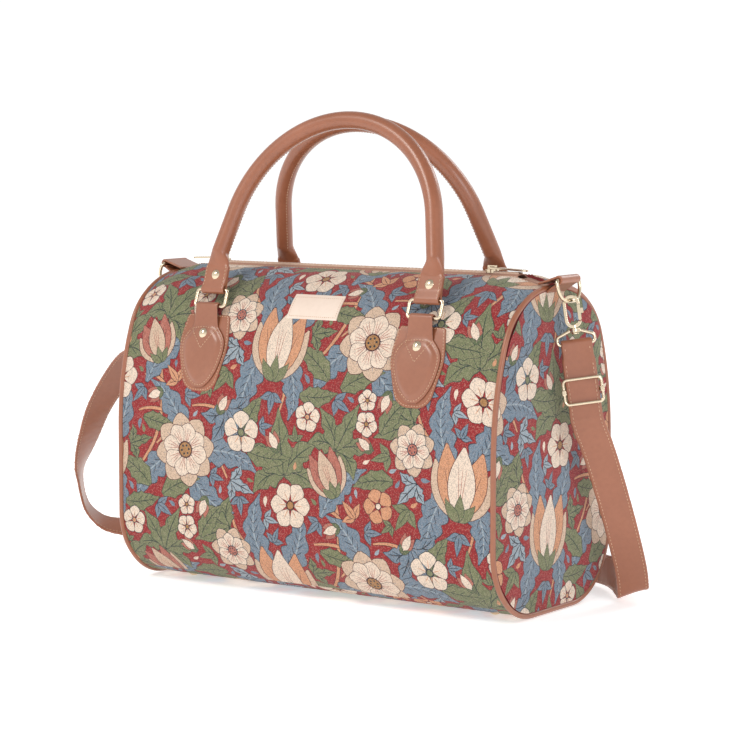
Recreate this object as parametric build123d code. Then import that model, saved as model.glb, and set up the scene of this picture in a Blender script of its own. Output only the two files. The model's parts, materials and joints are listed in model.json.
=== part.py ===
from build123d import *
import os
from math import cos, radians, sin, tan

# Barrel travel bag of woven fabric, with rolled leather handles, a shoulder strap and pale gold fittings.
# Millimetres. +X runs along the zip to the right end, -Y is the front, +Z is up.
# The origin is on the ground, under the foot in the middle of the base.

os.makedirs("parts", exist_ok=True)

# Bag body
BAG_DEPTH = 210.0          # front to back at the widest
BAG_HEIGHT = 312.5         # underside of the base to the crown
END_HALF = 218.5           # middle of the piping at each end
TAPER_LENGTH = 33.5        # stretch at each end where the crown drops
STRAIGHT_HALF = END_HALF - TAPER_LENGTH
END_DROP = 9.5             # how much lower the crown is at the ends
FABRIC_T = 2.5             # woven face with its foam backing
SEAM_GAP = 0.1             # room between sewn layers
BASE_INSET = 39.0          # from the widest point in to the flat of the base
HAUNCH_Z = 42.0            # where the side starts to stand upright
SHOULDER_DROP = 101.0      # from the crown down to where the side starts to lean
UPPER_INSET = 25.0         # from the widest point in to the upper shoulder
UPPER_DROP = 31.0          # from the crown down to the upper shoulder
CROWN_HALF = 38.0          # half the width of the crown
BASE_R, SHOULDER_R, UPPER_R, CROWN_R = 65.0, 280.0, 68.0, 88.0
BASE_SEAM_HALF = 72.0      # half the width of the base panel
SPLIT_Z = 150.0            # a height on the upright sides

# Piping, lining, base board and feet
PIPING_R = 2.5
LINING_T = 0.8
LINING_GAP = 0.2
LINING_END_GAP = 1.6
BOARD_END_ROOM, BOARD_WIDTH, BOARD_T = 33.5, 116.0, 2.5
BOARD_LENGTH = 2 * (END_HALF - BOARD_END_ROOM)
FOOT_FROM_END, FOOT_Y = 38.5, 38.0
FOOT_X = END_HALF - FOOT_FROM_END
FOOT_R, FOOT_HEIGHT, FOOT_STEM_R = 6.0, 3.0, 2.0
FOOT_SOLE = 0.7            # how much of the dome is worn flat

# Zip
ZIP_HALF = 14.0            # half the gap between the two panels
TAPE_T = 1.0
TAPE_OUTER = 22.0          # how far the tape runs under the panel
TAPE_INNER = 1.2
TAPE_RISE = 4.0            # how far the tape climbs from under the panels to the chain
TAPE_FOOT = 12.5           # distance from the middle where it starts to climb
CHAIN_HALF_LENGTH = STRAIGHT_HALF - 3.0
RIDGE_HALF_LENGTH = CHAIN_HALF_LENGTH + 1.5   # where the raised stretch ends
TOOTH_PITCH = 4.0
TOOTH_LENGTH = 1.6
TOOTH_HEIGHT = 1.8
TOOTH_REACH = 0.9          # how far a tooth crosses the middle
CHAIN_HALF_WIDTH = 4.2
BEAD_WIDTH = 1.2
SLIDER_X_RIGHT = CHAIN_HALF_LENGTH - 31.0
SLIDER_X_LEFT = 14.0 - CHAIN_HALF_LENGTH
SLIDER_LENGTH, SLIDER_PLATE_T, SLIDER_WALL = 13.0, 1.5, 1.1
SLIDER_GAP = 0.3           # running room on the chain
BAIL_LENGTH, BAIL_HEIGHT, BAIL_WIDTH, BAIL_T = 9.0, 3.6, 2.4, 1.1
PULL_LENGTH, PULL_WIDTH, PULL_T = 40.0, 7.5, 1.6
PULL_RAIL, PULL_WINDOW = 1.5, 6.5
PULL_DIP = 2.3             # degrees the pull slopes down to the tape

# Carrying handles
HANDLE_X = 125.0           # tab, ring and handle end from the middle of their own side
FRONT_SHIFT, BACK_SHIFT = 5.0, -15.0   # where each side's tabs are centred along the bag
RING_SLIP, HANDLE_SLIP = 1.0, 2.0      # how far the rings and the handle sit along from the tabs
LEATHER_T = 2.2
WIRE_R = 1.75              # rings and D-rings
LOOP_GAP = 0.3             # room between a wire and the leather round it
HANDLE_R = 8.5
CORE_R = 6.2
CORE_GAP = 0.1
ARCH_HEIGHT = 173.0        # ring bar to the middle of the tube at the top
ARCH_R = 119.0
LEG_LEAN = 13.0            # degrees each leg of the arch leans in
LEG_START = 38.0           # height of the lower end of the tube
STRAP_END_WIDTH = 27.0     # flat end of the handle
FLAT_END = 24.0            # height where the flat end starts to roll up
FRONT_LEAN, BACK_LEAN = 17.5, 21.0
FOLD_WAIST = 8.8           # height where the two layers of the fold meet
HANDLE_RIVET_UP = 14.8
RIVET_CAP_R, RIVET_CAP_H = 4.8, 2.0
RIVET_BACK_R, RIVET_BACK_H = 4.5, 0.9
RIVET_SHANK_R, RIVET_HOLE_GAP = 1.6, 0.05

# Anchor tabs and rings
RING_WIDTH, RING_PITCH, RING_CORNER = 36.0, 17.0, 3.4
RING_LEAN = 20.0           # degrees the ring leans in
RING_SEAT_DROP = 39.5      # from the crown down to the point behind the lower bar
RING_SEAT_Z = FOOT_HEIGHT + BAG_HEIGHT - RING_SEAT_DROP
PATCH_T = 2.0
PATCH_SHOULDER, PATCH_LEG = 29.0, 45.0   # heights of its upper and lower parts
PATCH_TOP_Z = RING_SEAT_Z - 5.0
PATCH_WIDE_Z = PATCH_TOP_Z - PATCH_SHOULDER
PATCH_LOW_Z = PATCH_WIDE_Z - PATCH_LEG
PATCH_TOP_HALF, PATCH_WIDE_HALF, PATCH_LOW_HALF = 25.0, 30.5, 18.0
PATCH_TOP_R, PATCH_SIDE_R, PATCH_FOOT_R = 4.0, 50.0, 18.0
TAB_T, TAB_PAD_T = 1.9, 1.9
TAB_SHOULDER, TAB_LEG = 18.0, 41.5       # heights of its upper and lower parts
TAB_NECK_Z = RING_SEAT_Z - 14.0
TAB_WIDE_Z = TAB_NECK_Z - TAB_SHOULDER
TAB_LOW_Z = TAB_WIDE_Z - TAB_LEG
TAB_NECK_HALF, TAB_WIDE_HALF, TAB_LOW_HALF = 13.0, 23.5, 14.0
TAB_PAD_INSET = 2.6
TAB_RIVET_Z = TAB_WIDE_Z + 8.0

# Name plate, left bare
PLATE_X, PLATE_LENGTH, PLATE_T = 2.0, 58.0, 1.2
PLATE_Y_NEAR, PLATE_Y_FAR = -85.0, -69.0

# End loops, D-rings and clasps
D_BAR_OUT, D_BAR_DROP = 14.5, 1.5   # bar of the D-ring from the end and down from the crown
D_BAR_X, D_BAR_Z = END_HALF + D_BAR_OUT, FOOT_HEIGHT + BAG_HEIGHT - D_BAR_DROP
D_WIDTH, D_DEPTH, D_TOP_R, D_LOW_R = 40.0, 20.5, 4.0, 15.0
LOOP_WIDTH = 34.0
CHAIN_TILT_RIGHT, CHAIN_TILT_LEFT = 9.5, 22.0
HOOK_TURN_RIGHT, HOOK_TURN_LEFT = 60.0, 70.0
EYE_TURN_RIGHT, EYE_TURN_LEFT = 55.0, 35.0
HOOK_WIDTH, HOOK_WALL, HOOK_T = 16.0, 3.2, 4.0
HOOK_LENGTH = 31.0
GATE_START, GATE_LENGTH, GATE_GAP = 9.5, 15.0, 0.3
GATE_LEVER = 4.0
STEM_R, STEM_HEAD_R, STEM_HEAD_H = 2.4, 3.4, 1.4
STEM_GAP = 0.1
HOOK_GAP = 0.8             # room between the D-ring's wire and the hook's bow
COLLAR_R, COLLAR_H = 4.6, 4.0
EYE_WIRE_R = 1.6
EYE_HALF_WIDTH = 17.4
EYE_BAR = 60.0             # D-ring bar to the bar that carries the strap

# Shoulder strap and its adjuster
STRAP_WIDTH, STRAP_T = 31.0, 2.6
FOLD_WIDTH = 29.0
FOLD_FLAT = 14.0           # from the bar to where the two layers lie together
FOLD_END_RIGHT, FOLD_END_LEFT = 99.0, 95.0
ADJUSTER_AT = 104.0        # from the D-ring bar
ADJUSTER_HALF_LENGTH, ADJUSTER_HALF_WIDTH, ADJUSTER_CORNER = 11.5, 17.8, 4.0
ADJUSTER_WIRE_R, ADJUSTER_GAP = 1.5, 0.3
ADJUSTER_EAR = 1.9         # half the size of the ear that joins the middle bar to the frame
STRAIGHT_STRAP_END = 131.0
STRAP_TUCK = 0.2           # how far inside the doubled end the free run starts
RIBBON_STEPS = 3           # sections drawn between two chosen points
LOFT_END = 0.02

ROUTE_END_HALF = 218.5     # middle of the piping that the points below were chosen for

# The free run of the strap from its left end to its right end: a point, then the way its width points
STRAP_ROUTE = [
    ((-281, 1.5, 218), (0.53, 0.80, -0.26)),
    ((-303, 7, 206), (0.48, 0.80, -0.34)),
    ((-335, 18, 179), (0.40, 0.86, -0.30)),
    ((-361, 26, 151), (0.20, 0.95, -0.22)),
    ((-381, 34, 121), (0.00, 0.98, -0.15)),
    ((-397, 42, 96), (-0.25, 0.95, -0.08)),
    ((-407, 48, 76), (-0.50, 0.86, 0.00)),
    ((-407.5, 51, 57), (-0.56, 0.82, 0.05)),
    ((-403.5, 54, 40), (-0.56, 0.80, 0.12)),
    ((-393.5, 58, 28), (-0.54, 0.78, 0.22)),
    ((-382, 63, 21), (-0.52, 0.76, 0.32)),
    ((-364, 70, 18), (-0.48, 0.72, 0.42)),
    ((-336, 84, 17.8), (-0.38, 0.60, 0.62)),
    ((-300, 102, 18.0), (-0.22, 0.40, 0.85)),
    ((-250, 124, 18.0), (-0.08, 0.16, 0.98)),
    ((-190, 142, 18.0), (0, 0.04, 1)),
    ((-110, 152, 18.0), (0, 0, 1)),
    ((-10, 156, 18.0), (0, 0, 1)),
    ((80, 157, 18.0), (0, 0, 1)),
    ((145, 154, 18.0), (0, 0, 1)),
    ((182, 145, 18.0), (0.02, 0.03, 1)),
    ((208, 131, 18.0), (0.12, 0.14, 0.98)),
    ((227, 116, 17.0), (0.34, 0.32, 0.88)),
    ((240, 105, 14.0), (0.58, 0.46, 0.67)),
    ((249, 97, 10.5), (0.72, 0.50, 0.46)),
    ((253.3, 91.1, 9.2), (0.78, 0.48, 0.36)),
    ((256.8, 87.1, 10.4), (0.80, 0.46, 0.32)),
    ((258.8, 84.1, 14), (0.81, 0.46, 0.30)),
    ((260.8, 78.1, 27), (0.81, 0.47, 0.30)),
    ((261.3, 70.1, 46), (0.81, 0.49, 0.28)),
    ((260.8, 51.1, 86), (0.80, 0.51, 0.26)),
    ((259.6, 31, 126), (0.80, 0.53, 0.24)),
    ((257.6, 13.2, 160), (0.80, 0.55, 0.20)),
]


# Section of the bag

def section_face(grow, x):
    """Filled section of the bag at x, grown or shrunk by a layer's distance from the fabric's face."""
    drop = END_DROP * max(0.0, abs(x) - STRAIGHT_HALF) / (END_HALF - STRAIGHT_HALF)
    half = BAG_DEPTH / 2
    base = FOOT_HEIGHT
    top = base + BAG_HEIGHT - drop
    right = [
        (half - BASE_INSET, base),
        (half, base + HAUNCH_Z),
        (half, top - SHOULDER_DROP),
        (half - UPPER_INSET, top - UPPER_DROP),
        (CROWN_HALF, top),
    ]
    left = [(-y, z) for y, z in reversed(right)]
    radii = [BASE_R, BASE_R, SHOULDER_R, UPPER_R, CROWN_R]
    outline = FilletPolyline(*right, *left, radius=radii + radii[::-1], close=True)
    face = make_face(outline)
    if grow:
        face = offset(face, amount=grow)
    return (Plane.YZ.offset(x) * face).face()


def body(grow, half_length):
    """Closed solid of the bag's form at one layer, with its lower crown towards both ends."""
    solid = extrude(section_face(grow, -STRAIGHT_HALF), amount=2 * STRAIGHT_HALF, dir=(1, 0, 0))
    for end in (-1, 1):
        sections = [section_face(grow, end * STRAIGHT_HALF), section_face(grow, end * half_length)]
        solid += loft(sections, ruled=True)
    return solid


def block(low, high):
    """Box between two corners."""
    size = [b - a for a, b in zip(low, high)]
    centre = [(a + b) / 2 for a, b in zip(low, high)]
    return Pos(*centre) * Box(*size)


def body_point(z, grow=0.0):
    """Point (y, z) on the front of the straight part, and the outward normal there."""
    edge = section_face(grow, 0.0).outer_wire()
    steps = 600
    points = [edge.position_at(i / steps) for i in range(steps + 1)]
    for a, b in zip(points, points[1:]):
        if a.Y < 0 and b.Y < 0 and min(a.Z, b.Z) <= z <= max(a.Z, b.Z) and a.Z != b.Z:
            share = (z - a.Z) / (b.Z - a.Z)
            y = a.Y + share * (b.Y - a.Y)
            along = (b - a).normalized()
            normal = Vector(0, along.Z, -along.Y)
            if normal.Y > 0:
                normal = -normal
            return Vector(0, y, z), normal
    raise ValueError("height is off the front of the bag")


SHELL_HALF = END_HALF - PIPING_R
FEET = [(0.0, 0.0)] + [(x, y) for x in (-FOOT_X, FOOT_X) for y in (-FOOT_Y, FOOT_Y)]
FAR = 2 * BAG_HEIGHT
TOP_Z = FOOT_HEIGHT + BAG_HEIGHT


def fabric_shell():
    return body(0.0, SHELL_HALF) - body(-FABRIC_T, SHELL_HALF)


def panel_region(side):
    """Space of the front panel (side -1) or the back panel (side 1)."""
    near = sorted((side * ZIP_HALF, side * FAR))
    low = sorted((side * BASE_SEAM_HALF, side * FAR))
    upper = block((-FAR, near[0], SPLIT_Z), (FAR, near[1], FAR))
    lower = block((-FAR, low[0], -FAR), (FAR, low[1], SPLIT_Z))
    return upper + lower


def base_region():
    return block((-FAR, -BASE_SEAM_HALF, -FAR), (FAR, BASE_SEAM_HALF, SPLIT_Z))


def fitting_x(side):
    """Positions along the bag of one side's two anchor tabs."""
    middle = FRONT_SHIFT if side < 0 else BACK_SHIFT
    return middle - HANDLE_X, middle + HANDLE_X


def side_panel(shell, side):
    panel = shell & panel_region(side)
    for x in fitting_x(side):
        panel -= rivet_hole(x, side)
    return panel


def base_panel(shell):
    panel = shell & base_region()
    for x, y in FEET:
        panel -= Pos(x, y, FOOT_HEIGHT) * Cylinder(FOOT_STEM_R + RIVET_HOLE_GAP, 6 * FABRIC_T)
    return panel


def end_panel(end):
    inner = end * (END_HALF - FABRIC_T / 2)
    face = section_face(-PIPING_R - SEAM_GAP, inner)
    return extrude(face, amount=FABRIC_T, dir=(end, 0, 0))


def piping(end):
    path = section_face(0.0, end * END_HALF).outer_wire()
    start = Plane(origin=path @ 0, z_dir=path % 0)
    return sweep(start * Circle(PIPING_R), path=path)


TAPE_TOP = -FABRIC_T - SEAM_GAP
LINING_TOP = TAPE_TOP - TAPE_T - LINING_GAP


def lining():
    """Loose inner bag, open along the zip."""
    half_length = SHELL_HALF - LINING_END_GAP
    skin = body(LINING_TOP, half_length) - body(LINING_TOP - LINING_T, half_length - LINING_T)
    slot = block((-CHAIN_HALF_LENGTH, -CHAIN_HALF_WIDTH, SPLIT_Z), (CHAIN_HALF_LENGTH, CHAIN_HALF_WIDTH, FAR))
    return skin - slot


def base_board():
    """Stiffener that follows the base from haunch to haunch."""
    outer = LINING_TOP - LINING_T - SEAM_GAP
    end = -BOARD_LENGTH / 2
    sheet = extrude(section_face(outer, end), amount=BOARD_LENGTH, dir=(1, 0, 0))
    sheet -= extrude(section_face(outer - BOARD_T, end), amount=BOARD_LENGTH, dir=(1, 0, 0))
    return sheet & block((end, -BOARD_WIDTH / 2, -FAR), (-end, BOARD_WIDTH / 2, SPLIT_Z))


def dome(radius, height):
    """Low domed cap standing on the XY plane."""
    ball = (radius * radius + height * height) / (2 * height)
    return Pos(0, 0, height - ball) * Sphere(ball) & Pos(0, 0, height) * Cylinder(radius, 2 * height)


def base_feet():
    feet = []
    for x, y in FEET:
        cap = Pos(0, 0, FOOT_HEIGHT) * Rotation(180, 0, 0) * dome(FOOT_R, FOOT_HEIGHT + FOOT_SOLE)
        stem = Pos(0, 0, FOOT_HEIGHT + FABRIC_T / 2) * Cylinder(FOOT_STEM_R, FABRIC_T)
        under = block((-FOOT_R, -FOOT_R, -FOOT_R), (FOOT_R, FOOT_R, 0.0))
        feet.append(Pos(x, y, 0) * (cap + stem - under))
    return Compound(children=feet)


# Zip

def zip_tape(side):
    layer = body(TAPE_TOP, SHELL_HALF) - body(TAPE_TOP - TAPE_T, SHELL_HALF)
    near = sorted((side * TAPE_INNER, side * TAPE_OUTER))
    tape = layer & block((-FAR, near[0], SPLIT_Z), (FAR, near[1], FAR))
    low = TOP_Z + TAPE_TOP
    tape -= block((-RIDGE_HALF_LENGTH, -TAPE_FOOT, SPLIT_Z), (RIDGE_HALF_LENGTH, TAPE_FOOT, FAR))
    outline = [(TAPE_FOOT + 1.0, low), (TAPE_FOOT, low), (CHAIN_HALF_WIDTH + 0.4, CHAIN_Z), (TAPE_INNER, CHAIN_Z)]
    outline += [(y, z - TAPE_T) for y, z in reversed(outline)]
    ridge = make_face(Polyline(*[(side * y, z) for y, z in outline], close=True))
    start = Plane.YZ.offset(-RIDGE_HALF_LENGTH)
    return tape + extrude(start * ridge, amount=2 * RIDGE_HALF_LENGTH, dir=(1, 0, 0))


CHAIN_Z = TOP_Z + TAPE_TOP + TAPE_RISE
CHAIN_TOP = CHAIN_Z + TOOTH_HEIGHT


def zip_teeth(side):
    """One row of teeth on its bead. The other row is half a pitch along."""
    outer = side * CHAIN_HALF_WIDTH
    bead_y = sorted((outer, outer - side * BEAD_WIDTH))
    row = block((-CHAIN_HALF_LENGTH, bead_y[0], CHAIN_Z), (CHAIN_HALF_LENGTH, bead_y[1], CHAIN_TOP - 0.3))
    tooth_y = sorted((outer - side * BEAD_WIDTH, -side * TOOTH_REACH))
    count = int(2 * CHAIN_HALF_LENGTH / TOOTH_PITCH) - 1
    first = -CHAIN_HALF_LENGTH + TOOTH_PITCH * (1.0 if side < 0 else 1.5) - TOOTH_PITCH / 2
    teeth = []
    for i in range(count):
        x = first + i * TOOTH_PITCH
        teeth.append(block((x, tooth_y[0], CHAIN_Z), (x + TOOTH_LENGTH, tooth_y[1], CHAIN_TOP)))
    return row.fuse(*teeth)


SLIDER_TOP = CHAIN_TOP + SLIDER_GAP + SLIDER_PLATE_T
PULL_PIN_R = PULL_T / 2
PULL_PIN_Z = SLIDER_TOP + SLIDER_GAP + PULL_PIN_R


def zip_slider(x):
    """Upper shell of a slider: a plate with two side walls astride the closed chain, and the bail."""
    half = SLIDER_LENGTH / 2
    wide = CHAIN_HALF_WIDTH + SLIDER_GAP + SLIDER_WALL
    plan = SlotOverall(SLIDER_LENGTH, 2 * wide) if SLIDER_LENGTH > 2 * wide else Rectangle(SLIDER_LENGTH, 2 * wide)
    bottom = CHAIN_Z + SLIDER_GAP
    shell = extrude(Pos(0, 0, bottom) * plan, amount=SLIDER_TOP - bottom)
    inner = CHAIN_HALF_WIDTH + SLIDER_GAP
    shell -= block((-half - 1, -inner, bottom - 1), (half + 1, inner, CHAIN_TOP + SLIDER_GAP))
    arch = Rectangle(BAIL_LENGTH, 2 * BAIL_HEIGHT) - Rectangle(BAIL_LENGTH - 2 * BAIL_T, 2 * (BAIL_HEIGHT - BAIL_T))
    bail = extrude(Plane.XZ * arch, amount=BAIL_WIDTH / 2, both=True)
    bail &= block((-half, -BAIL_WIDTH, 0.0), (half, BAIL_WIDTH, BAIL_HEIGHT))
    return Pos(x, 0, 0) * (shell + Pos(0, 0, SLIDER_TOP) * bail)


def zip_pull(x, end):
    """Pull tab lying away from the slider towards its own end of the zip."""
    eye = PULL_WINDOW + 2 * PULL_RAIL
    plate = Pos(PULL_LENGTH / 2 - PULL_PIN_R, 0) * SlotOverall(PULL_LENGTH, PULL_WIDTH)
    head = Pos(eye / 2 - PULL_PIN_R, 0) * Rectangle(eye, PULL_WIDTH)
    window = Pos(PULL_PIN_R + PULL_WINDOW / 2, 0) * Rectangle(PULL_WINDOW, PULL_WIDTH - 2 * PULL_RAIL)
    hang_hole = Pos(PULL_LENGTH - PULL_WIDTH / 2 - PULL_PIN_R, 0) * Circle(PULL_WIDTH / 5)
    tab = extrude(plate + head - window - hang_hole, amount=PULL_T / 2, both=True)
    groove_length = PULL_LENGTH - eye - PULL_WIDTH
    groove = Pos(eye + groove_length / 2, 0, PULL_T / 2) * Box(groove_length, PULL_WIDTH / 2.5, PULL_T / 2)
    tab -= groove
    corner = block((-PULL_T, -PULL_WIDTH, -PULL_T), (0.0, PULL_WIDTH, PULL_T))
    pin = Rotation(90, 0, 0) * Cylinder(PULL_PIN_R, PULL_WIDTH)
    tab = tab - corner + pin
    tab = Rotation(0, PULL_DIP, 0) * tab
    if end < 0:
        tab = mirror(tab, about=Plane.YZ)
    return Pos(x, 0, PULL_PIN_Z) * tab


# Handle fittings. Each is made for the front and mirrored for the back.

SEAT, SEAT_NORMAL = body_point(RING_SEAT_Z)
LOOP_R = WIRE_R + LOOP_GAP + LEATHER_T
RING_LOW = SEAT + SEAT_NORMAL * (PATCH_T + 2 * SEAM_GAP + LOOP_R)
RING_UP = Vector(0, sin(radians(RING_LEAN)), cos(radians(RING_LEAN)))
RING_HIGH = RING_LOW + RING_UP * RING_PITCH
TAB_FACE = SEAM_GAP + PATCH_T + SEAM_GAP + TAB_T + TAB_PAD_T


def ring_x(side):
    return [x - side * RING_SLIP for x in fitting_x(side)]


def placed(shape, side):
    return mirror(shape, about=Plane.XZ) if side > 0 else shape


def shield(top_z, wide_z, low_z, top_half, wide_half, low_half, radii):
    """Shield outline seen from the front, widest above the middle, with a rounded foot."""
    right = [(top_half, top_z), (wide_half, wide_z), (low_half, low_z)]
    left = [(-x, z) for x, z in reversed(right)]
    return make_face(FilletPolyline(*right, *left, radius=radii + radii[::-1], close=True))


def leather_layer(outline, x, inner, outer):
    """Leather cut to an outline and laid on the front of the bag between two distances from the fabric."""
    cut = extrude(Plane.XZ * (Pos(x, 0) * outline), amount=BAG_DEPTH)
    reach = HANDLE_X + 2 * PATCH_WIDE_HALF
    sheet = extrude(section_face(outer, -reach), amount=2 * reach, dir=(1, 0, 0))
    sheet -= extrude(section_face(inner, -reach), amount=2 * reach, dir=(1, 0, 0))
    return cut & sheet


RIVET_SEAT, RIVET_NORMAL = body_point(TAB_RIVET_Z)


def rivet_axis(x):
    return Plane(origin=(x, RIVET_SEAT.Y, RIVET_SEAT.Z), x_dir=(1, 0, 0), z_dir=RIVET_NORMAL)


def rivet_hole(x, side):
    hole = rivet_axis(x) * Cylinder(RIVET_SHANK_R + RIVET_HOLE_GAP, 8 * TAB_FACE)
    return placed(hole, side)


def anchor_patch(x, side):
    outline = shield(PATCH_TOP_Z, PATCH_WIDE_Z, PATCH_LOW_Z, PATCH_TOP_HALF, PATCH_WIDE_HALF,
                     PATCH_LOW_HALF, [PATCH_TOP_R, PATCH_SIDE_R, PATCH_FOOT_R])
    patch = leather_layer(outline, x, SEAM_GAP, SEAM_GAP + PATCH_T)
    return placed(patch, side) - rivet_hole(x, side)


def anchor_tab(x, side):
    """Padded tab whose neck folds round the lower bar of the ring."""
    under = 2 * SEAM_GAP + PATCH_T
    leather = shield(TAB_WIDE_Z + 10.0, TAB_WIDE_Z, TAB_LOW_Z, TAB_WIDE_HALF - 4.0, TAB_WIDE_HALF,
                     TAB_LOW_HALF, [8.0, 12.0, 14.0])
    neck = make_face(Polyline((TAB_NECK_HALF, TAB_NECK_Z + 8.0), (TAB_NECK_HALF, TAB_NECK_Z),
                              (TAB_WIDE_HALF - 1.0, TAB_WIDE_Z + 3.0), (1.0 - TAB_WIDE_HALF, TAB_WIDE_Z + 3.0),
                              (-TAB_NECK_HALF, TAB_NECK_Z), (-TAB_NECK_HALF, TAB_NECK_Z + 8.0), close=True))
    whole = leather + neck
    tab = leather_layer(whole, x, under, under + TAB_T)
    pad = offset(leather, amount=-TAB_PAD_INSET)
    tab += leather_layer(pad, x, under + TAB_T, under + TAB_T + TAB_PAD_T)
    foot, foot_normal = body_point(TAB_NECK_Z - 6.0)
    foot += foot_normal * (under + TAB_T)
    fold = make_hull(
        (Pos(RING_LOW.Y, RING_LOW.Z) * Circle(LOOP_R)).edges() + (Pos(foot.Y, foot.Z) * Circle(TAB_T)).edges()
    )
    loop = extrude(Plane.YZ.offset(x - TAB_NECK_HALF) * make_face(fold.edges()), amount=2 * TAB_NECK_HALF)
    loop -= extrude(section_face(under, x - 2 * TAB_NECK_HALF), amount=4 * TAB_NECK_HALF, dir=(1, 0, 0))
    tab += loop
    bar = Pos(x, RING_LOW.Y, RING_LOW.Z) * Rotation(0, 90, 0) * Cylinder(WIRE_R + LOOP_GAP, 4 * TAB_NECK_HALF)
    return placed(tab - bar, side) - rivet_hole(x, side)


def rivet(grip_low, grip_high):
    """Capped rivet on the Z axis, gripping what lies between the two heights."""
    shank = Pos(0, 0, (grip_low + grip_high) / 2) * Cylinder(RIVET_SHANK_R, grip_high - grip_low)
    back = Pos(0, 0, grip_low - RIVET_BACK_H / 2) * Cylinder(RIVET_BACK_R, RIVET_BACK_H)
    return shank + back + Pos(0, 0, grip_high) * dome(RIVET_CAP_R, RIVET_CAP_H)


def anchor_rivets():
    rivets = []
    for side in (-1, 1):
        for x in fitting_x(side):
            one = rivet_axis(x) * rivet(-FABRIC_T - SEAM_GAP, TAB_FACE + SEAM_GAP / 2)
            rivets.append(placed(one, side))
    return Compound(children=rivets)


def handle_ring(x, side):
    middle = (RING_LOW + RING_HIGH) * 0.5
    plane = Plane(origin=(x, middle.Y, middle.Z), x_dir=(1, 0, 0), z_dir=Vector(1, 0, 0).cross(RING_UP))
    path = (plane * RectangleRounded(RING_WIDTH, RING_PITCH, RING_CORNER)).face().outer_wire()
    start = Plane(origin=path @ 0, z_dir=path % 0)
    return placed(sweep(start * Circle(WIRE_R), path=path), side)


# Handles

def handle_plane(lean, side):
    middle = sum(fitting_x(side)) / 2 - side * HANDLE_SLIP
    up = Vector(0, sin(radians(lean)), cos(radians(lean)))
    return Plane(origin=(middle, RING_HIGH.Y, RING_HIGH.Z), x_dir=(1, 0, 0), z_dir=Vector(1, 0, 0).cross(up))


def handle_path():
    """Arch of the tube in the handle's own plane, from the left leg to the right leg."""
    centre = ARCH_HEIGHT - ARCH_R
    turn = radians(LEG_LEAN)
    top_x, top_y = ARCH_R * cos(turn), centre + ARCH_R * sin(turn)
    foot_x = top_x + (top_y - LEG_START) * tan(turn)
    left = Line((-foot_x, LEG_START), (-top_x, top_y))
    arch = ThreePointArc((-top_x, top_y), (0, ARCH_HEIGHT), (top_x, top_y))
    right = Line((top_x, top_y), (foot_x, LEG_START))
    return Wire([left.edge(), arch.edge(), right.edge()])


def handle_tube(path, radius):
    return sweep(Plane(origin=path @ 0, z_dir=path % 0) * Circle(radius), path=path)


def handle_end(path):
    """Right end: leather folded round the ring's upper bar, then rolled up into the tube."""
    flat_half = LEATHER_T + SEAM_GAP / 2
    waist = Pos(0, FOLD_WAIST) * Rectangle(2 * flat_half, 1.0)
    outer = make_face(make_hull(Circle(LOOP_R).edges() + waist.edges()).edges())
    outer += Pos(0, (FOLD_WAIST + FLAT_END) / 2) * Rectangle(2 * flat_half, FLAT_END - FOLD_WAIST)
    inner = make_face(make_hull(Circle(WIRE_R + LOOP_GAP).edges() + (Pos(0, 6.5) * Circle(0.2)).edges()).edges())
    across = Plane(origin=(HANDLE_X - STRAP_END_WIDTH / 2, 0, 0), x_dir=(0, 0, -1), z_dir=(1, 0, 0))
    fold = extrude(across * (outer - inner), amount=STRAP_END_WIDTH)
    foot, up = path @ 1, -(path % 1)
    sections = [
        Plane(origin=(HANDLE_X, FLAT_END - LOFT_END, 0), x_dir=(1, 0, 0), z_dir=(0, 1, 0))
        * Ellipse(STRAP_END_WIDTH / 2, LEATHER_T + 0.6),
        Plane(origin=((HANDLE_X + foot.X) / 2, (FLAT_END + foot.Y) / 2, 0), x_dir=(1, 0, 0), z_dir=(0, 1, 0))
        * Ellipse(HANDLE_R + 2.8, HANDLE_R - 3.2),
        Plane(origin=foot, x_dir=Vector(0, 0, 1).cross(up) * -1, z_dir=up) * Circle(HANDLE_R),
    ]
    roll = loft(sections)
    hole = Pos(HANDLE_X, HANDLE_RIVET_UP, 0) * Cylinder(RIVET_SHANK_R + RIVET_HOLE_GAP, 8 * LEATHER_T)
    return fold + roll - hole


def handle(lean, side):
    path = handle_path()
    sleeve = handle_tube(path, HANDLE_R) - handle_tube(path, CORE_R + CORE_GAP)
    end = handle_end(path)
    leather = sleeve + end + mirror(end, about=Plane.YZ)
    return placed(handle_plane(lean, side) * leather, side)


def handle_core(lean, side):
    return placed(handle_plane(lean, side) * handle_tube(handle_path(), CORE_R), side)


def handle_rivets(lean, side):
    grip = LEATHER_T + SEAM_GAP
    rivets = []
    for x in (-HANDLE_X, HANDLE_X):
        one = handle_plane(lean, side) * (Pos(x, HANDLE_RIVET_UP, 0) * rivet(-grip, grip))
        rivets.append(placed(one, side))
    return Compound(children=rivets)


def name_plate():
    plate = body(SEAM_GAP + PLATE_T, SHELL_HALF) - body(SEAM_GAP, SHELL_HALF)
    half = PLATE_LENGTH / 2
    return plate & block((PLATE_X - half, PLATE_Y_NEAR, SPLIT_Z), (PLATE_X + half, PLATE_Y_FAR, FAR))


# End loops, D-rings and clasps. Distances run down from the bar of the D-ring.

def hanging_plane(end, tilt, turn):
    """Plane at the bar of the D-ring: its Z points up the chain and its X along the turned width."""
    lean = radians(tilt)
    down = Vector(end * sin(lean), 0, -cos(lean))
    across = Vector(cos(lean), 0, end * sin(lean))
    width = Vector(0, 1, 0) * cos(radians(turn)) + across * sin(radians(turn))
    return Plane(origin=(end * D_BAR_X, 0, D_BAR_Z), x_dir=width, z_dir=-down)


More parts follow.
